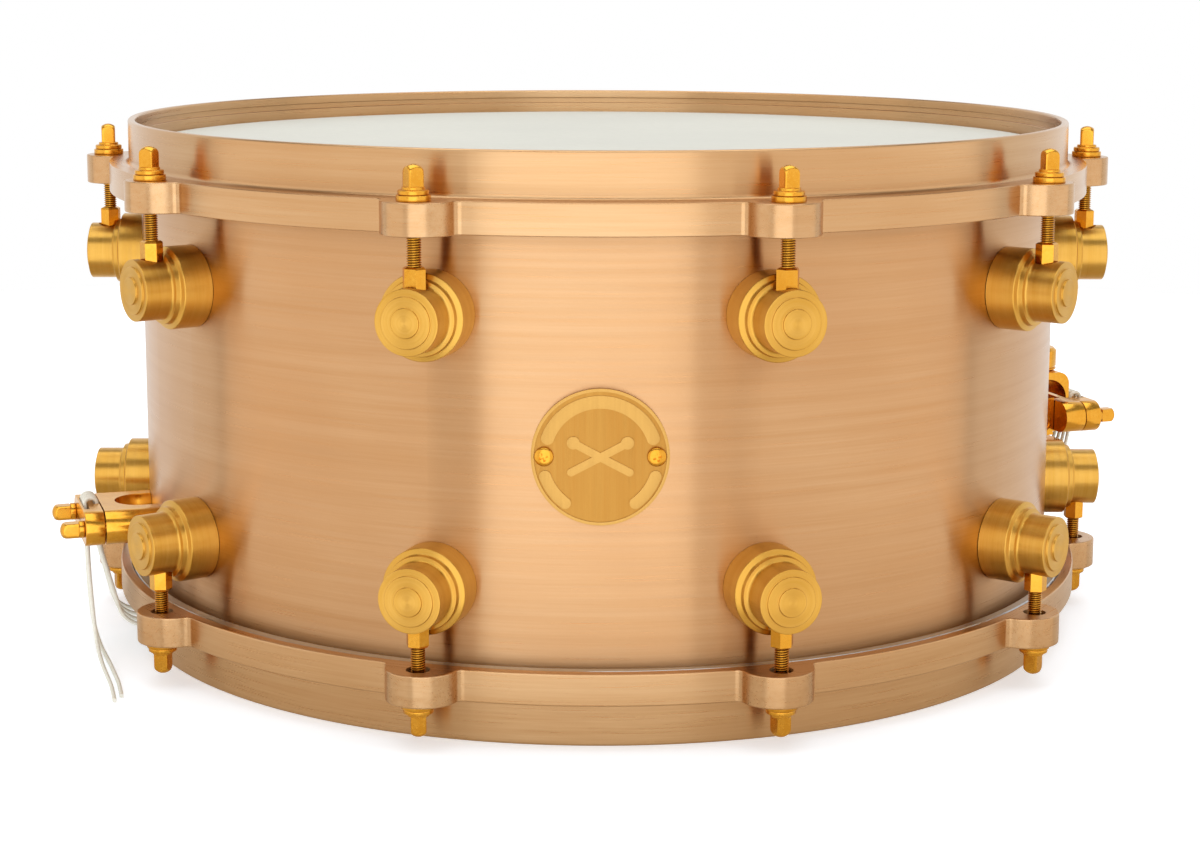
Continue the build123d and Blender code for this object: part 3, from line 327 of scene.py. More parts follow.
def brush(finish, along, colours, rough, fine=1.0, depth=0.02 * MM):
    """Fine parallel scratches over a metal: noise in coordinates that hardly change along a scratch."""
    hairs = finish.noise(along, fine, 3.0, 0.6)
    bands = finish.noise(along, 0.22 * fine, 2.0, 0.5)
    cloud = finish.noise(finish.place, 14.0, 2.0, 0.5)
    mixed = finish.math("ADD", finish.math("MULTIPLY", hairs, 0.55), finish.math("MULTIPLY", bands, 0.45))
    tone = finish.span(mixed, 0.34, 0.66, 0.0, 1.0)
    shade = finish.mix(tone, colours[0], colours[1])
    finish.set("Base Color", finish.mix(finish.span(cloud, 0.35, 0.65, 0.0, 0.35), shade, colours[2]))
    finish.set("Roughness", finish.span(hairs, 0.3, 0.7, rough[0], rough[1]))
    if depth:
        finish.bump(mixed, depth, 0.5)


def ring_brushed(name, colours, rough, anisotropic, length=26.0, fine=1500.0, depth=0.02 * MM):
    """Metal brushed round the drum's axis, on its walls and on its level faces."""
    finish = Finish(name, Metallic=1.0, Anisotropic=anisotropic)
    x, y, z = finish.split(finish.place)
    radius = finish.vector("LENGTH", finish.join(x, y, 0.0))
    slow = finish.vector("MULTIPLY", finish.place, (length, length, 0))
    quick = finish.join(finish.math("MULTIPLY", radius, fine), 0.0, finish.math("MULTIPLY", z, fine))
    brush(finish, finish.vector("ADD", slow, quick), colours, rough, 1.0, depth)
    outward = finish.vector("NORMALIZE", finish.join(x, y, 0.0))
    tilt = finish.vector("MULTIPLY", outward, (0.4, 0.4, 0.4))
    finish.set("Tangent", finish.vector("ADD", tilt, (0, 0, 1)))
    return finish.material


def lug_brushed(name, colours, rough, anisotropic):
    """Metal turned on a lathe round each lug's own axis."""
    finish = Finish(name, Metallic=1.0, Anisotropic=anisotropic)
    x, y, z = finish.split(finish.place)
    step = 2 * pi / ROD_COUNT
    azimuth = finish.math("ARCTAN2", x, finish.math("MULTIPLY", y, -1.0))
    index = finish.math("FLOOR", finish.math("DIVIDE", azimuth, step))
    middle = finish.math("MULTIPLY", finish.math("ADD", index, 0.5), step)
    sine = finish.math("SINE", middle)
    cosine = finish.math("COSINE", middle)
    axis = finish.join(sine, finish.math("MULTIPLY", cosine, -1.0), 0.0)
    side = finish.join(cosine, sine, 0.0)
    along = finish.vector("DOT_PRODUCT", finish.place, axis)
    across = finish.vector("DOT_PRODUCT", finish.place, side)
    upper = finish.math("GREATER_THAN", z, DRUM_HEIGHT / 2)
    rise = BATTER_LUG_HEIGHT - SNARE_LUG_HEIGHT
    centre = finish.math("ADD", finish.math("MULTIPLY", upper, rise), SNARE_LUG_HEIGHT)
    above = finish.math("SUBTRACT", z, centre)
    radius = finish.vector("LENGTH", finish.join(across, above, 0.0))
    fine = 2200.0
    slow = finish.vector("MULTIPLY", finish.place, (90.0, 90.0, 90.0))
    quick = finish.join(finish.math("MULTIPLY", along, fine), finish.math("MULTIPLY", radius, fine), 0.0)
    brush(finish, finish.vector("ADD", slow, quick), colours, rough, 0.8, 0.015 * MM)
    radial = finish.vector("ADD", finish.vector("MULTIPLY", side, finish.join(across, across, across)),
                           finish.join(0.0, 0.0, above))
    spoke = finish.vector("MULTIPLY", finish.vector("NORMALIZE", radial), (0.4, 0.4, 0.4))
    finish.set("Tangent", finish.vector("ADD", axis, spoke))
    return finish.material


def up_brushed(name, colours, rough, anisotropic, relief):
    """Metal brushed up and down, lighter in colour on what stands proud of this radius."""
    finish = Finish(name, Metallic=1.0, Anisotropic=anisotropic)
    scratches = finish.vector("MULTIPLY", finish.place, (2600, 2600, 60))
    brush(finish, scratches, colours, rough)
    x, y, z = finish.split(finish.place)
    radius = finish.vector("LENGTH", finish.join(x, y, 0.0))
    raised = finish.span(radius, relief - 0.1 * MM, relief, 0.0, 1.0)
    brushed = finish.surface.inputs["Base Color"].links[0].from_socket
    finish.set("Base Color", finish.mix(raised, brushed, colours[3]))
    finish.set("Tangent", finish.join(1.0, 0.0, 0.0))
    return finish.material


def rod_gold_with_painted_groove_shade(name, colours, rough, groove_shade_colour):
    """The rods' gold, with painted shade in the thread's grooves, which lie close to the rod's own Z axis.
    """
    finish = Finish(name, Metallic=1.0)
    brush(finish, finish.vector("MULTIPLY", finish.place, (900, 900, 900)), colours, rough, 1.0, 0)
    plated = finish.surface.inputs["Base Color"].links[0].from_socket
    x, y, z = finish.split(finish.place)
    radius = finish.vector("LENGTH", finish.join(x, y, 0.0))
    # Painted shade: the thread's grooves, close to the rod's axis, are mixed towards a dark gold.
    groove_shade = finish.span(radius, ROD_CREST - 0.32 * MM, ROD_CREST - 0.08 * MM, 0.85, 0.0)
    threaded = finish.math("LESS_THAN", z, 2.1 * MM)
    finish.set("Base Color", finish.mix(finish.math("MULTIPLY", groove_shade, threaded), plated, groove_shade_colour))
    return finish.material


def grained(name, colours, rough, scale=900.0, depth=0.01 * MM, metallic=1.0, gloss=0.5):
    """A surface with an even fine grain."""
    finish = Finish(name, Metallic=metallic, Specular_IOR_Level=gloss)
    brush(finish, finish.vector("MULTIPLY", finish.place, (scale, scale, scale)), colours, rough, 1.0, depth)
    return finish.material


def make_materials():
    bronze = [linear("c69a6d"), linear("d3ab81"), linear("c09063")]
    hoop = [linear("c49b6e"), linear("d1ad83"), linear("be9265")]
    gold = [linear("d1a146"), linear("deb25b"), linear("c3913b")]
    deep_gold = [linear("d99a30"), linear("e5ad45"), linear("c98a28")]
    badge = [linear("b07e3b"), linear("bb8d46"), linear("a77632"), linear("c49953")]
    film = [linear("cfd0c8"), linear("d5d6ce"), linear("c9cac3")]
    cord = [linear("dcdcd0"), linear("ebebe2"), linear("d0d0c4")]
    steel = [linear("b9bcc0"), linear("cfd2d6"), linear("a9acb0")]
    return {
        "shell_bronze": ring_brushed("shell_bronze", bronze, (0.27, 0.34), 1.0),
        "hoop_bronze": ring_brushed("hoop_bronze", hoop, (0.26, 0.33), 0.9, 30.0, 1300.0, 0.008 * MM),
        "gold": lug_brushed("gold", gold, (0.30, 0.42), 0.8),
        "rod_gold": grained("rod_gold", deep_gold, (0.17, 0.26), 900.0, 0),
        # The dark gold 6b3f0c is painted shade for the thread's grooves.
        "rod_thread": rod_gold_with_painted_groove_shade("rod_thread", deep_gold, (0.2, 0.3), linear("6b3f0c")),
        "badge_gold": up_brushed("badge_gold", badge, (0.34, 0.44), 0.8, BADGE_FACE + 0.25 * MM),
        "film": grained("film", film, (0.5, 0.6), 1800.0, 0.02 * MM, 0.0, 0.1),
        "flesh_hoop": grained("flesh_hoop", steel, (0.3, 0.4)),
        "cord": grained("cord", cord, (0.4, 0.5), 2400.0, 0.01 * MM, 0.0),
        "steel": grained("steel", steel, (0.25, 0.35)),
        "wire": grained("wire", steel, (0.2, 0.3)),
    }


# ---- Mesh helpers --------------------------------------------------------------------------------
def softened(points, radius, steps=4):
    """An open outline with each corner between straight runs turned into a small curve."""
    vectors = [Vector(point) for point in points]
    outline = [vectors[0]]
    for before, corner, after in zip(vectors, vectors[1:], vectors[2:]):
        reach = min(radius, 0.48 * (corner - before).length, 0.48 * (after - corner).length)
        start = corner + (before - corner).normalized() * reach
        end = corner + (after - corner).normalized() * reach
        for index in range(steps + 1):
            t = index / steps
            outline.append(start * (1 - t) ** 2 + corner * 2 * t * (1 - t) + end * t ** 2)
    return outline + [vectors[-1]]


def ring_of(bm, count, radius_at, height):
    """A ring of vertices: the radius is a function of the angle."""
    angles = [2 * pi * index / count for index in range(count)]
    return [bm.verts.new((radius_at(a) * cos(a), radius_at(a) * sin(a), height)) for a in angles]


def skin(bm, rings, closed=False):
    """Faces between rings of vertices, with flat caps at both ends, or joined end to end."""
    count = len(rings[0])
    pairs = list(zip(rings, rings[1:]))
    if closed:
        pairs.append((rings[-1], rings[0]))
    for low, high in pairs:
        for index in range(count):
            after = (index + 1) % count
            bm.faces.new((low[index], low[after], high[after], high[index]))
    if not closed:
        bm.faces.new(rings[0][::-1])
        bm.faces.new(rings[-1])


def lathe(bm, outline, count=64, closed=False):
    """A turned solid from (radius, height) points, about the local Z axis."""
    rings = [ring_of(bm, count, lambda angle, r=point[0]: r, point[1]) for point in outline]
    skin(bm, rings, closed)


# ---- Tension rods and washers ----------------------------------------------------------------------
def thread(bm, low, high, crest, pitch, count=20):
    """A helical thread between two heights, closed at both ends."""
    root = crest - 0.55 * pitch
    profile = [root, root, crest, crest]
    rows = int((high - low) / pitch * len(profile))
    grid = []
    for row in range(rows):
        ring = []
        for column in range(count):
            angle = 2 * pi * column / count
            height = low + pitch * (row / len(profile) + column / count)
            radius = profile[row % len(profile)]
            ring.append(bm.verts.new((radius * cos(angle), radius * sin(angle), height)))
        grid.append(ring)
    for row in range(rows - 1):
        for column in range(count - 1):
            bm.faces.new((grid[row][column], grid[row][column + 1],
                          grid[row + 1][column + 1], grid[row + 1][column]))
        if row + 1 + len(profile) < rows:
            bm.faces.new((grid[row][-1], grid[row + len(profile)][0],
                          grid[row + 1 + len(profile)][0], grid[row + 1][-1]))
    bmesh.ops.holes_fill(bm, edges=[edge for edge in bm.edges if edge.is_boundary], sides=0)


def square_radius(angle, half):
    """The radius of a square with slightly rounded corners."""
    power = 14
    return half / (abs(cos(angle)) ** power + abs(sin(angle)) ** power) ** (1 / power)


def smaller(first, second):
    """The smaller of two lengths, blended where they are nearly the same."""
    power = 26
    return (first ** -power + second ** -power) ** (-1 / power)


def key_head(bm, low, high, half, dome, count=64):
    """A square head with a domed top."""
    centre = high - dome
    turns = [index / 16 * pi / 2 for index in range(16)]
    heights = [low + (centre - low) * index / 4 for index in range(4)]
    stages = [(height, dome) for height in heights]
    stages += [(centre + dome * sin(turn), dome * cos(turn)) for turn in turns]
    rings = []
    for height, reach in stages:
        rings.append(ring_of(bm, count, lambda a, r=reach: smaller(square_radius(a, half), r), height))
    skin(bm, rings)


ROD_PITCH = 25.4 / 32 * MM
ROD_PAST_LUG = 2 * MM
ROD_FLANGE = [(2.2, 2.05), (5.0, 2.05), (5.0, 3.5), (4.35, 3.68), (3.7, 3.7), (3.72, 4.6), (0.5, 4.62)]
ROD_FLANGE_EDGE = 0.38 * MM
THREAD_HIGH = 2.6 * MM
HEAD_LOW = 4.4 * MM
HEAD_HIGH = 11.8 * MM
HEAD_HALF = 2.6 * MM
HEAD_DOME = 3.9 * MM
WASHER = [(2.7, 0.0), (5.6, 0.0), (5.6, 2.0), (2.7, 2.0), (2.7, 0.0)]
WASHER_EDGE = 0.3 * MM
COLLAR_LOW = 15.8 * MM


def rod_mesh(reach):
    """A tension rod with its hoop's face at height 0: thread, flange, neck and square head."""
    bm = bmesh.new()
    thread(bm, -reach, THREAD_HIGH, ROD_CREST, ROD_PITCH)
    lathe(bm, softened([Vector(point) * MM for point in ROD_FLANGE], ROD_FLANGE_EDGE), 48)
    key_head(bm, HEAD_LOW, HEAD_HIGH, HEAD_HALF, HEAD_DOME)
    return bm


def around(azimuth, radius, height):
    """A move from the origin to a place round the drum."""
    angle = radians(azimuth)
    return Matrix.Translation((radius * sin(angle), -radius * cos(angle), height))


def upended(over):
    """A half turn for the snare side, where the rods and their washers stand upside down."""
    return Matrix.Rotation(pi, 4, "X") if over else Matrix.Identity(4)


# How far each key head happens to be turned, in degrees.
BATTER_HEAD_TURNS = [20, 12, 78, 20, 55, 41, 66, 12, 70, 32]
SNARE_HEAD_TURNS = [28, 54, 35, 61, 10, 47, 83, 25, 78, 4]


def make_rods():
    """Ten rods a side, each from its hoop's face to just past the middle of its lug."""
    batter_reach = DRUM_HEIGHT - COLLAR_LOW - BATTER_LUG_HEIGHT + ROD_PAST_LUG
    snare_reach = SNARE_LUG_HEIGHT - COLLAR_LOW + ROD_PAST_LUG
    sides = (("batter", batter_reach, DRUM_HEIGHT - COLLAR_LOW, False, BATTER_HEAD_TURNS),
             ("snare", snare_reach, COLLAR_LOW, True, SNARE_HEAD_TURNS))
    for side, reach, height, over, turns in sides:
        first = mesh_object("first", rod_mesh(reach), radians(35))
        first.data.materials.append(materials["rod_thread"])
        for index, azimuth in enumerate(ROD_AZIMUTHS):
            node = f"{side}_rod_{index + 1:02d}"
            rod = bpy.data.objects.new(f"tension_{node}", first.data)
            bpy.context.scene.collection.objects.link(rod)
            turn = radians(-turns[index] if over else turns[index])
            place = around(azimuth, ROD_CIRCLE, height)
            rod.matrix_world = place @ upended(over) @ Matrix.Rotation(turn, 4, "Z")
            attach(rod, node)
            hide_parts(node)
        bpy.data.objects.remove(first)


def make_washers():
    """A flat ring under every rod's flange, one piece for each side."""
    soft = softened([Vector(point) * MM for point in WASHER], WASHER_EDGE, 3)[:-1]
    for side, height, over in (("batter", DRUM_HEIGHT - COLLAR_LOW, False), ("snare", COLLAR_LOW, True)):
        bm = bmesh.new()
        for azimuth in ROD_AZIMUTHS:
            one = bmesh.new()
            lathe(one, soft, 48, True)
            add_to(bm, one, around(azimuth, ROD_CIRCLE, height) @ upended(over))
        washers = mesh_object(f"{side}_washer_set", bm, radians(35))
        washers.data.materials.append(materials["rod_gold"])
        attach(washers, f"{side}_hoop")
        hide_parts(f"{side}_washers")


# ---- Hoops, in mm, with heights from the rim's edge ----------------------------------------------
COLLAR_HIGH = 26.6
COLLAR_OUTER = 187.5
EAR_CENTRE = 187.2
EAR_RADIUS = 12.4
EAR_FILLET = 2.5
EAR_HOLE_RADIUS = 4.0
COUNTERBORE_RADIUS = 183.8
COUNTERBORE_FLOOR = 18.2
RIM_INNER = 177.4
RIM_OUTER = 180.2
COVE_RADIUS = 2.4
GROOVE = (178.4, 3.4, 5.7)
WALL_LOW = 2.0
GATE_HALF_WIDTH = 24.0
GATE_HEIGHT = 13.0
GATE_DEPTH = 12
HOLE_DEPTH = 40
INSIDE_EDGE = 0.3
RIM_EDGE = 1.1
COLLAR_EDGE = 0.55
COLLAR_LIP = 1.3


def arc(centre, radius, first, last, steps, outward):
    """Points with their outward directions, along an arc from one angle to another."""
    found = []
    for index in range(steps):
        angle = first + (last - first) * index / (steps - 1)
        direction = Vector((cos(angle), sin(angle)))
        found.append((centre + direction * radius, direction * outward))
    return found


def ear_outline():
    """The collar's edge over one ear, about the ear's own azimuth: half a gap, the ear, half a gap."""
    reach = COLLAR_OUTER + EAR_FILLET
    span = EAR_RADIUS + EAR_FILLET
    turn = acos((EAR_CENTRE ** 2 + reach ** 2 - span ** 2) / (2 * EAR_CENTRE * reach))
    ear = Vector((EAR_CENTRE, 0))
    middle = Vector((cos(turn), sin(turn))) * reach
    to_ear = middle - ear
    lean = atan2(to_ear.y, to_ear.x)
    half_step = pi / ROD_COUNT
    side = arc(ear, EAR_RADIUS, 0, lean, 26, 1)
    side += arc(middle, EAR_FILLET, lean + pi, turn + pi, 9, -1)[1:]
    side += arc(Vector((0, 0)), COLLAR_OUTER, turn, half_step, 15, 1)[1:]
    mirrored = [(Vector((p.x, -p.y)), Vector((n.x, -n.y))) for p, n in side[1:-1]]
    return mirrored[::-1] + side


def hoop_mesh():
    """A hoop with its rim's edge at height 0: every corner is a small curve."""
    columns = []
    for azimuth in ROD_AZIMUTHS:
        turn = Matrix.Rotation(radians(azimuth - 90), 2)
        columns += [(turn @ point, turn @ outward) for point, outward in ear_outline()]
    groove_radius, groove_low, groove_high = GROOVE
    inside = softened([(COUNTERBORE_RADIUS + 0.6, COLLAR_HIGH), (COUNTERBORE_RADIUS, COLLAR_HIGH),
                       (COUNTERBORE_RADIUS, COUNTERBORE_FLOOR), (RIM_INNER, COUNTERBORE_FLOOR),
                       (RIM_INNER, groove_high), (groove_radius, groove_high), (groove_radius, groove_low),
                       (RIM_INNER, groove_low), (RIM_INNER, WALL_LOW)], INSIDE_EDGE, 3)
    edge = softened([(RIM_INNER, WALL_LOW), (RIM_INNER, 0), (RIM_OUTER, 0), (RIM_OUTER, WALL_LOW)],
                    RIM_EDGE, 5)
    low = COLLAR_LOW / MM
    cove = softened([(RIM_OUTER, WALL_LOW), (RIM_OUTER, low), (COUNTERBORE_RADIUS, low)], COVE_RADIUS, 8)
    collar = softened([(COLLAR_LIP, low), (0, low), (0, COLLAR_HIGH), (COLLAR_LIP, COLLAR_HIGH)],
                      COLLAR_EDGE, 4)
    bm = bmesh.new()
    rings = []
    for radius, height in inside[:-1] + edge[:-1] + cove:
        rings.append([bm.verts.new((*(point.normalized() * radius), height)) for point, outward in columns])
    for inset, height in collar:
        rings.append([bm.verts.new((*(point - outward * inset), height)) for point, outward in columns])
    skin(bm, rings, True)
    bmesh.ops.scale(bm, vec=(MM, MM, MM), verts=bm.verts)
    return bm


def cutters(gates):
    """The ten ear holes, and the two gates that the snare cords pass through."""
    bm = bmesh.new()
    for azimuth in ROD_AZIMUTHS:
        bmesh.ops.create_cone(bm, cap_ends=True, segments=48, radius1=EAR_HOLE_RADIUS * MM,
                              radius2=EAR_HOLE_RADIUS * MM, depth=HOLE_DEPTH * MM,
                              matrix=around(azimuth, ROD_CIRCLE, COLLAR_LOW))
    for azimuth in gates:
        place = around(azimuth, (RIM_INNER - 2) * MM, 0)
        size = Matrix.Diagonal((2 * GATE_HALF_WIDTH * MM, GATE_DEPTH * MM, 2 * GATE_HEIGHT * MM, 1))
        bmesh.ops.create_cube(bm, size=1, matrix=place @ Matrix.Rotation(radians(azimuth), 4, "Z") @ size)
    return bm


def cut(obj, cutter, smooth_angle):
    """Takes the cutter out of the piece, and marks its sharp edges again."""
    modifier = obj.modifiers.new("cut", "BOOLEAN")
    modifier.operation = "DIFFERENCE"
    modifier.solver = "EXACT"
    modifier.object = cutter
    graph = bpy.context.evaluated_depsgraph_get()
    mesh = bpy.data.meshes.new_from_object(obj.evaluated_get(graph))
    bm = bmesh.new()
    bm.from_mesh(mesh)
    name = obj.name
    for leftover in (obj, cutter):
        bpy.data.objects.remove(leftover)
    bpy.data.meshes.remove(mesh)
    made = mesh_object(name, bm, smooth_angle)
    made.modifiers.new("flat_faces", "WEIGHTED_NORMAL").keep_sharp = True
    return made


def make_hoops():
    """Both hoops: the same ring, with gates on the snare side and turned over on the batter side."""
    for side, gates, over in (("batter", (), True), ("snare", SNARE_GATES, False)):
        hoop = mesh_object(f"{side}_hoop_ring", hoop_mesh())
        hoop = cut(hoop, mesh_object("cutter", cutters(gates)), radians(40))
        if over:
            flip = Matrix.Translation((0, 0, DRUM_HEIGHT)) @ Matrix.Diagonal((1, 1, -1, 1))
            hoop.data.transform(flip)
            hoop.data.flip_normals()
        hoop.data.materials.clear()
        hoop.data.materials.append(materials["hoop_bronze"])
        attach(hoop, f"{side}_hoop")
        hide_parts(f"{side}_hoop")


# ---- Tube lugs, in mm: an outline's points are a distance from the drum's axis and a radius ------
LUG_BACK = 176.1
LUG_BASE_RADIUS = 14.5
LUG_FACE = 200.0
# Each lug's spot face and bore: a radius, and its low and high end above the lug's own axis.
SPOT_FACE = (4.7, 9.6, 15)
RECEIVER_BORE = (3.4, 0, 10)
LUG_BASE = [(178, LUG_BASE_RADIUS), (186.0, LUG_BASE_RADIUS), (186.6, 12.6), (188.3, 12.35)]
LUG_ROOT = [(188.3, 12.35), (188.6, 10.75), (191, 10.75)]
LUG_CAP = [(191, 10.75), (198.6, 10.75), (198.6, 8.35), (199.3, 8.35), (199.3, 4.8), (LUG_FACE, 4.8),
           (LUG_FACE, 0.3)]
LUG_BASE_EDGE = 0.35
LUG_COVE = 1.6
LUG_CAP_EDGE = 0.28


def standing(azimuth, height):
    """Turns a local frame whose Z points away from the drum to this azimuth, at this height in mm."""
    angle = radians(azimuth)
    outward = Vector((sin(angle), -cos(angle), 0))
    across = Vector((cos(angle), sin(angle), 0))
    turn = Matrix((across, (0, 0, 1), outward)).transposed().to_4x4()
    return Matrix.Translation((0, 0, height)) @ turn


def add_lug(bm, azimuth, height, count=96):
    """A turned lug whose back follows the shell."""
    fresh = bmesh.new()
    rings = []
    for reach in (4.0, 9.0, LUG_BASE_RADIUS):
        ring = []
        for index in range(count):
            angle = 2 * pi * index / count
            across = reach * cos(angle)
            ring.append(fresh.verts.new((across, reach * sin(angle), (LUG_BACK ** 2 - across ** 2) ** 0.5)))
        rings.append(ring)
    outline = softened(LUG_BASE, LUG_BASE_EDGE)
    outline += softened(LUG_ROOT, LUG_COVE, 6)[1:]
    outline += softened(LUG_CAP, LUG_CAP_EDGE)[1:]
    for along, reach in outline:
        rings.append(ring_of(fresh, count, lambda angle, r=reach: r, along))
    skin(fresh, rings)
    add_to(bm, fresh, standing(azimuth, height))


def add_to(bm, fresh, matrix):
    """Adds one bmesh to another, moved by the matrix."""
    bmesh.ops.transform(fresh, matrix=matrix, verts=fresh.verts)
    scratch = bpy.data.meshes.new("scratch")
    fresh.to_mesh(scratch)
    fresh.free()
    bm.from_mesh(scratch)
    bpy.data.meshes.remove(scratch)


def make_lugs():
    """Ten lugs a side, each with the seat and the bore of its receiver cut in."""
    for side, height, up in (("batter", BATTER_LUG_HEIGHT / MM, 1), ("snare", SNARE_LUG_HEIGHT / MM, -1)):
        bm = bmesh.new()
        holes = bmesh.new()
        for azimuth in ROD_AZIMUTHS:
            add_lug(bm, azimuth, height)
            for radius, low, high in (SPOT_FACE, RECEIVER_BORE):
                middle = height + up * (low + high) / 2
                bmesh.ops.create_cone(holes, cap_ends=True, segments=48, radius1=radius, radius2=radius,
                                      depth=high - low, matrix=around(azimuth, ROD_CIRCLE / MM, middle))
        for mesh in (bm, holes):
            bmesh.ops.scale(mesh, vec=(MM, MM, MM), verts=mesh.verts)
        lugs = cut(mesh_object(f"{side}_lug_set", bm), mesh_object("cutter", holes), radians(33))
        lugs.data.materials.clear()
        lugs.data.materials.append(materials["gold"])
        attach(lugs, BODY_OF[f"{side}_lugs"])
        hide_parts(f"{side}_lugs")


# ---- Snare wires, in mm --------------------------------------------------------------------------
WIRE_HALF_LENGTH = 148.0
WIRE_HEIGHT = 8.5
WIRE_SPACING = 2.1
WIRE_COUNT = 20
WIRE_RADIUS = 0.2
COIL_RADIUS = 0.68
COIL_PITCH = 2.0
COIL_STEPS = 8


def make_wires():
    """Twenty coiled strands side by side, from the butt's end plate to the strainer's."""
    angle = radians(SNARE_GATES[1])
    along = Vector((sin(angle), -cos(angle), 0))
    side = Vector((cos(angle), sin(angle), 0))
    up = Vector((0, 0, 1))
    steps = int(2 * WIRE_HALF_LENGTH / COIL_PITCH * COIL_STEPS)
    bm = bmesh.new()
    for strand in range(WIRE_COUNT):
        middle = side * (strand - (WIRE_COUNT - 1) / 2) * WIRE_SPACING + up * WIRE_HEIGHT
        rings = []
        for step in range(steps + 1):
            turn = 2 * pi * step / COIL_STEPS
            outward = side * cos(turn) + up * sin(turn)
            reach = COIL_PITCH * step / COIL_STEPS - WIRE_HALF_LENGTH
            place = middle + along * reach + outward * COIL_RADIUS
            corners = (outward, along, -outward, -along)
            rings.append([bm.verts.new((place + corner * WIRE_RADIUS) * MM) for corner in corners])
        skin(bm, rings)
    wires = mesh_object("coiled_wires", bm, radians(100))
    wires.data.materials.append(materials["wire"])
    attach(wires, BODY_OF["snare_wires"])
    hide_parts("snare_wires")


# ---- Clamp screws, in mm: each pair's azimuth, height and seat's distance from the axis -----------
CLAMP_SCREW_ACROSS = 15.0
CLAMPS = {"butt_clamp_screws": (-72, 47.7, 203.45), "strainer_clamp_screws": (108, 66.0, 216.05)}
CLAMP_SHANK = [(0.4, -13.1), (1.95, -13.1), (1.95, 0.05), (0.4, 0.05)]
CLAMP_COLLAR = [(0.5, 0.05), (3.2, 0.05), (3.2, 2.0), (2.5, 2.45), (0.5, 2.45)]
CLAMP_COLLAR_EDGE = 0.4
CLAMP_HEAD_LOW = 2.2
CLAMP_HEAD_HIGH = 8.8
CLAMP_HEAD_HALF = 2.7
CLAMP_HEAD_DOME = 4.1


def make_clamp_screws():
    """The square-headed pair in the butt's clamp and the pair in the strainer's."""
    for node, (azimuth, height, seat) in CLAMPS.items():
        bm = bmesh.new()
        for across in (-CLAMP_SCREW_ACROSS, CLAMP_SCREW_ACROSS):
            fresh = bmesh.new()
            lathe(fresh, CLAMP_SHANK, 32)
            lathe(fresh, softened(CLAMP_COLLAR, CLAMP_COLLAR_EDGE), 48)
            key_head(fresh, CLAMP_HEAD_LOW, CLAMP_HEAD_HIGH, CLAMP_HEAD_HALF, CLAMP_HEAD_DOME)
            add_to(bm, fresh, standing(azimuth, height) @ Matrix.Translation((across, 0, seat)))
        bmesh.ops.scale(bm, vec=(MM, MM, MM), verts=bm.verts)
        screws = mesh_object(f"{node}_pair", bm, radians(35))
        screws.data.materials.append(materials["rod_gold"])
        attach(screws, BODY_OF[node])
        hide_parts(node)


# ---- Badge screws, in mm, with the stem and the recess measured from the head's seat -------------
BADGE_HEIGHT = 96.2
BADGE_SCREW_TURN = 5.9
BADGE_SCREW_SEAT = 177.1
SCREW_STEM = [(0.2, -7.1), (1.2, -7.1), (1.2, -6.5), (2.8, -6.5), (2.8, -4.5), (1.2, -4.5), (1.2, 0.0)]
SCREW_HEAD_RADIUS = 3.15
SCREW_HEAD_EDGE = 0.5
SCREW_DOME = 1.1
RECESS_HALF_LENGTH = 1.45
RECESS_HALF_WIDTH = 0.42
RECESS_FLOOR = 0.3
RECESS_TOP = 3.0
RECESS_TURN = 20


def make_badge_screws():
    """Two pan heads with a cross recess, each with its stem and the nut inside the shell."""
    steps = 10
    turns = [pi / 2 * step / steps for step in range(steps)]
    outline = list(SCREW_STEM)
    outline.append((SCREW_HEAD_RADIUS, 0.0))
    outline += [(SCREW_HEAD_RADIUS * cos(turn), SCREW_HEAD_EDGE + SCREW_DOME * sin(turn)) for turn in turns]
    length, width = RECESS_HALF_LENGTH, RECESS_HALF_WIDTH
    quarter = [(length, -width), (length, width), (width, width)]
    cross = []
    for _ in range(4):
        cross += quarter
        quarter = [(-y, x) for x, y in quarter]
    bm = bmesh.new()
    holes = bmesh.new()
    for turn in (-BADGE_SCREW_TURN, BADGE_SCREW_TURN):
        place = standing(turn, BADGE_HEIGHT) @ Matrix.Translation((0, 0, BADGE_SCREW_SEAT))
        fresh = bmesh.new()
        lathe(fresh, outline, 48)
        add_to(bm, fresh, place)
        fresh = bmesh.new()
        skin(fresh, [[fresh.verts.new((x, y, z)) for x, y in cross] for z in (RECESS_FLOOR, RECESS_TOP)])
        add_to(holes, fresh, place @ Matrix.Rotation(radians(RECESS_TURN), 4, "Z"))
    for mesh in (bm, holes):
        bmesh.ops.scale(mesh, vec=(MM, MM, MM), verts=mesh.verts)
    screws = cut(mesh_object("badge_screw_pair", bm), mesh_object("cutter", holes), radians(40))
    screws.data.materials.clear()
    screws.data.materials.append(materials["rod_gold"])
    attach(screws, BODY_OF["badge_screws"])
    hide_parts("badge_screws")


# ---- Free ends of the butt cord ------------------------------------------------------------------
CORD_DIAMETER = 1.5 * MM
TAILS = {
    "cord_tail_front": [
        (-189.40, -69.95, 41.3), (-188.4, -73.9, 32.6), (-187.2, -76.4, 21.2), (-186.2, -77.7, 10.8),
        (-184.0, -82.6, 3.0), (-179.9, -94.8, 0.8), (-175.6, -107.6, 0.8), (-171.2, -121.2, 0.8),
        (-167.8, -134.8, 0.8)],
    "cord_tail_back": [
        (-190.48, -66.62, 41.3), (-189.6, -70.4, 32.7), (-188.6, -72.6, 21.6), (-187.4, -73.7, 11.0),
        (-184.2, -77.4, 3.2), (-178.7, -89.2, 0.8), (-174.2, -102.8, 0.8), (-169.7, -116.2, 0.8),
        (-166.4, -129.6, 0.8)],
}


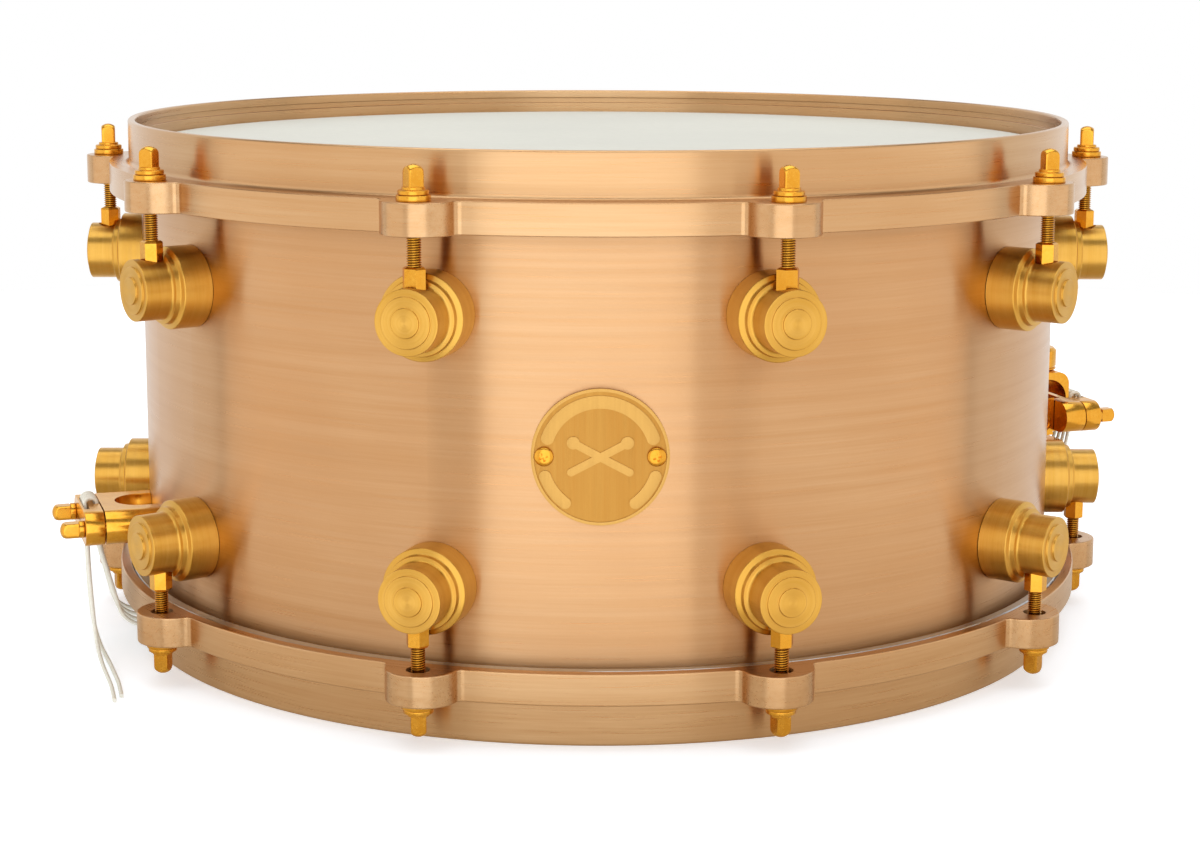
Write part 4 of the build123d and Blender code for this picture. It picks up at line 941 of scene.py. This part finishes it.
def make_tails():
    """The two free ends that hang from the butt's clamp and lie on the floor."""
    for node, route in TAILS.items():
        curve = bpy.data.curves.new(f"{node}_line", "CURVE")
        curve.dimensions = "3D"
        spline = curve.splines.new("NURBS")
        spline.points.add(len(route) - 1)
        for point, place in zip(spline.points, route):
            point.co = (*(value * MM for value in place), 1)
        spline.order_u = 3
        spline.use_endpoint_u = True
        spline.resolution_u = 16
        curve.bevel_depth = CORD_DIAMETER / 2
        curve.bevel_resolution = 5
        curve.use_fill_caps = True
        curve.materials.append(materials["cord"])
        tail = bpy.data.objects.new(f"{node}_line", curve)
        bpy.context.scene.collection.objects.link(tail)
        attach(tail, BODY_OF[node])
        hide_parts(node)


# ---- Finishes and edges of the CAD nodes ---------------------------------------------------------
def soften_edges(name, width):
    """A CAD node keeps its mesh, and modifiers round its sharp edges."""
    obj = nodes[name]
    weld = obj.modifiers.new("weld", "WELD")
    weld.merge_threshold = 0.002 * MM
    bevel = obj.modifiers.new("round", "BEVEL")
    bevel.width = width
    bevel.segments = 3
    bevel.limit_method = "ANGLE"
    bevel.angle_limit = radians(38)
    bevel.harden_normals = True
    bevel.use_clamp_overlap = True


# What isn't named here is rod_gold.
FINISH_OF = {
    "shell": "shell_bronze", "batter_hoop": "hoop_bronze", "snare_hoop": "hoop_bronze",
    "batter_lugs": "gold", "snare_lugs": "gold", "badge": "badge_gold",
    "batter_head": "film", "snare_head": "film", "batter_flesh_hoop": "flesh_hoop",
    "snare_flesh_hoop": "flesh_hoop", "snare_wires": "wire", "wire_plate_butt": "steel",
    "wire_plate_strainer": "steel", "lug_screws": "steel", "butt_cord": "cord",
    "strainer_cord": "cord", "cord_tail_front": "cord", "cord_tail_back": "cord",
}
# Widths in mm of the rounded edges of the CAD nodes that are seen close to.
EDGE_WIDTHS = {
    "batter_receivers": 0.3, "snare_receivers": 0.3, "butt_plate": 0.35, "butt_clamp": 0.35,
    "strainer_housing": 0.35, "strainer_clamp": 0.35, "carriage": 0.35, "adjuster_block": 0.3,
    "tension_knob": 0.25, "lever": 0.35, "lever_shaft": 0.2, "badge": 0.15,
}

make_camera()
make_light()
floor = make_floor()
shade = make_floor_shade()
surround = make_surround()
materials = make_materials()
for name, obj in nodes.items():
    slot = FINISH_OF.get(name, "rod_gold")
    obj.data.materials.clear()
    obj.data.materials.append(materials[slot])

make_tails()
make_hoops()
make_lugs()
make_clamp_screws()
make_badge_screws()
make_wires()
make_rods()
make_washers()
for name, width in EDGE_WIDTHS.items():
    soften_edges(name, width * MM)
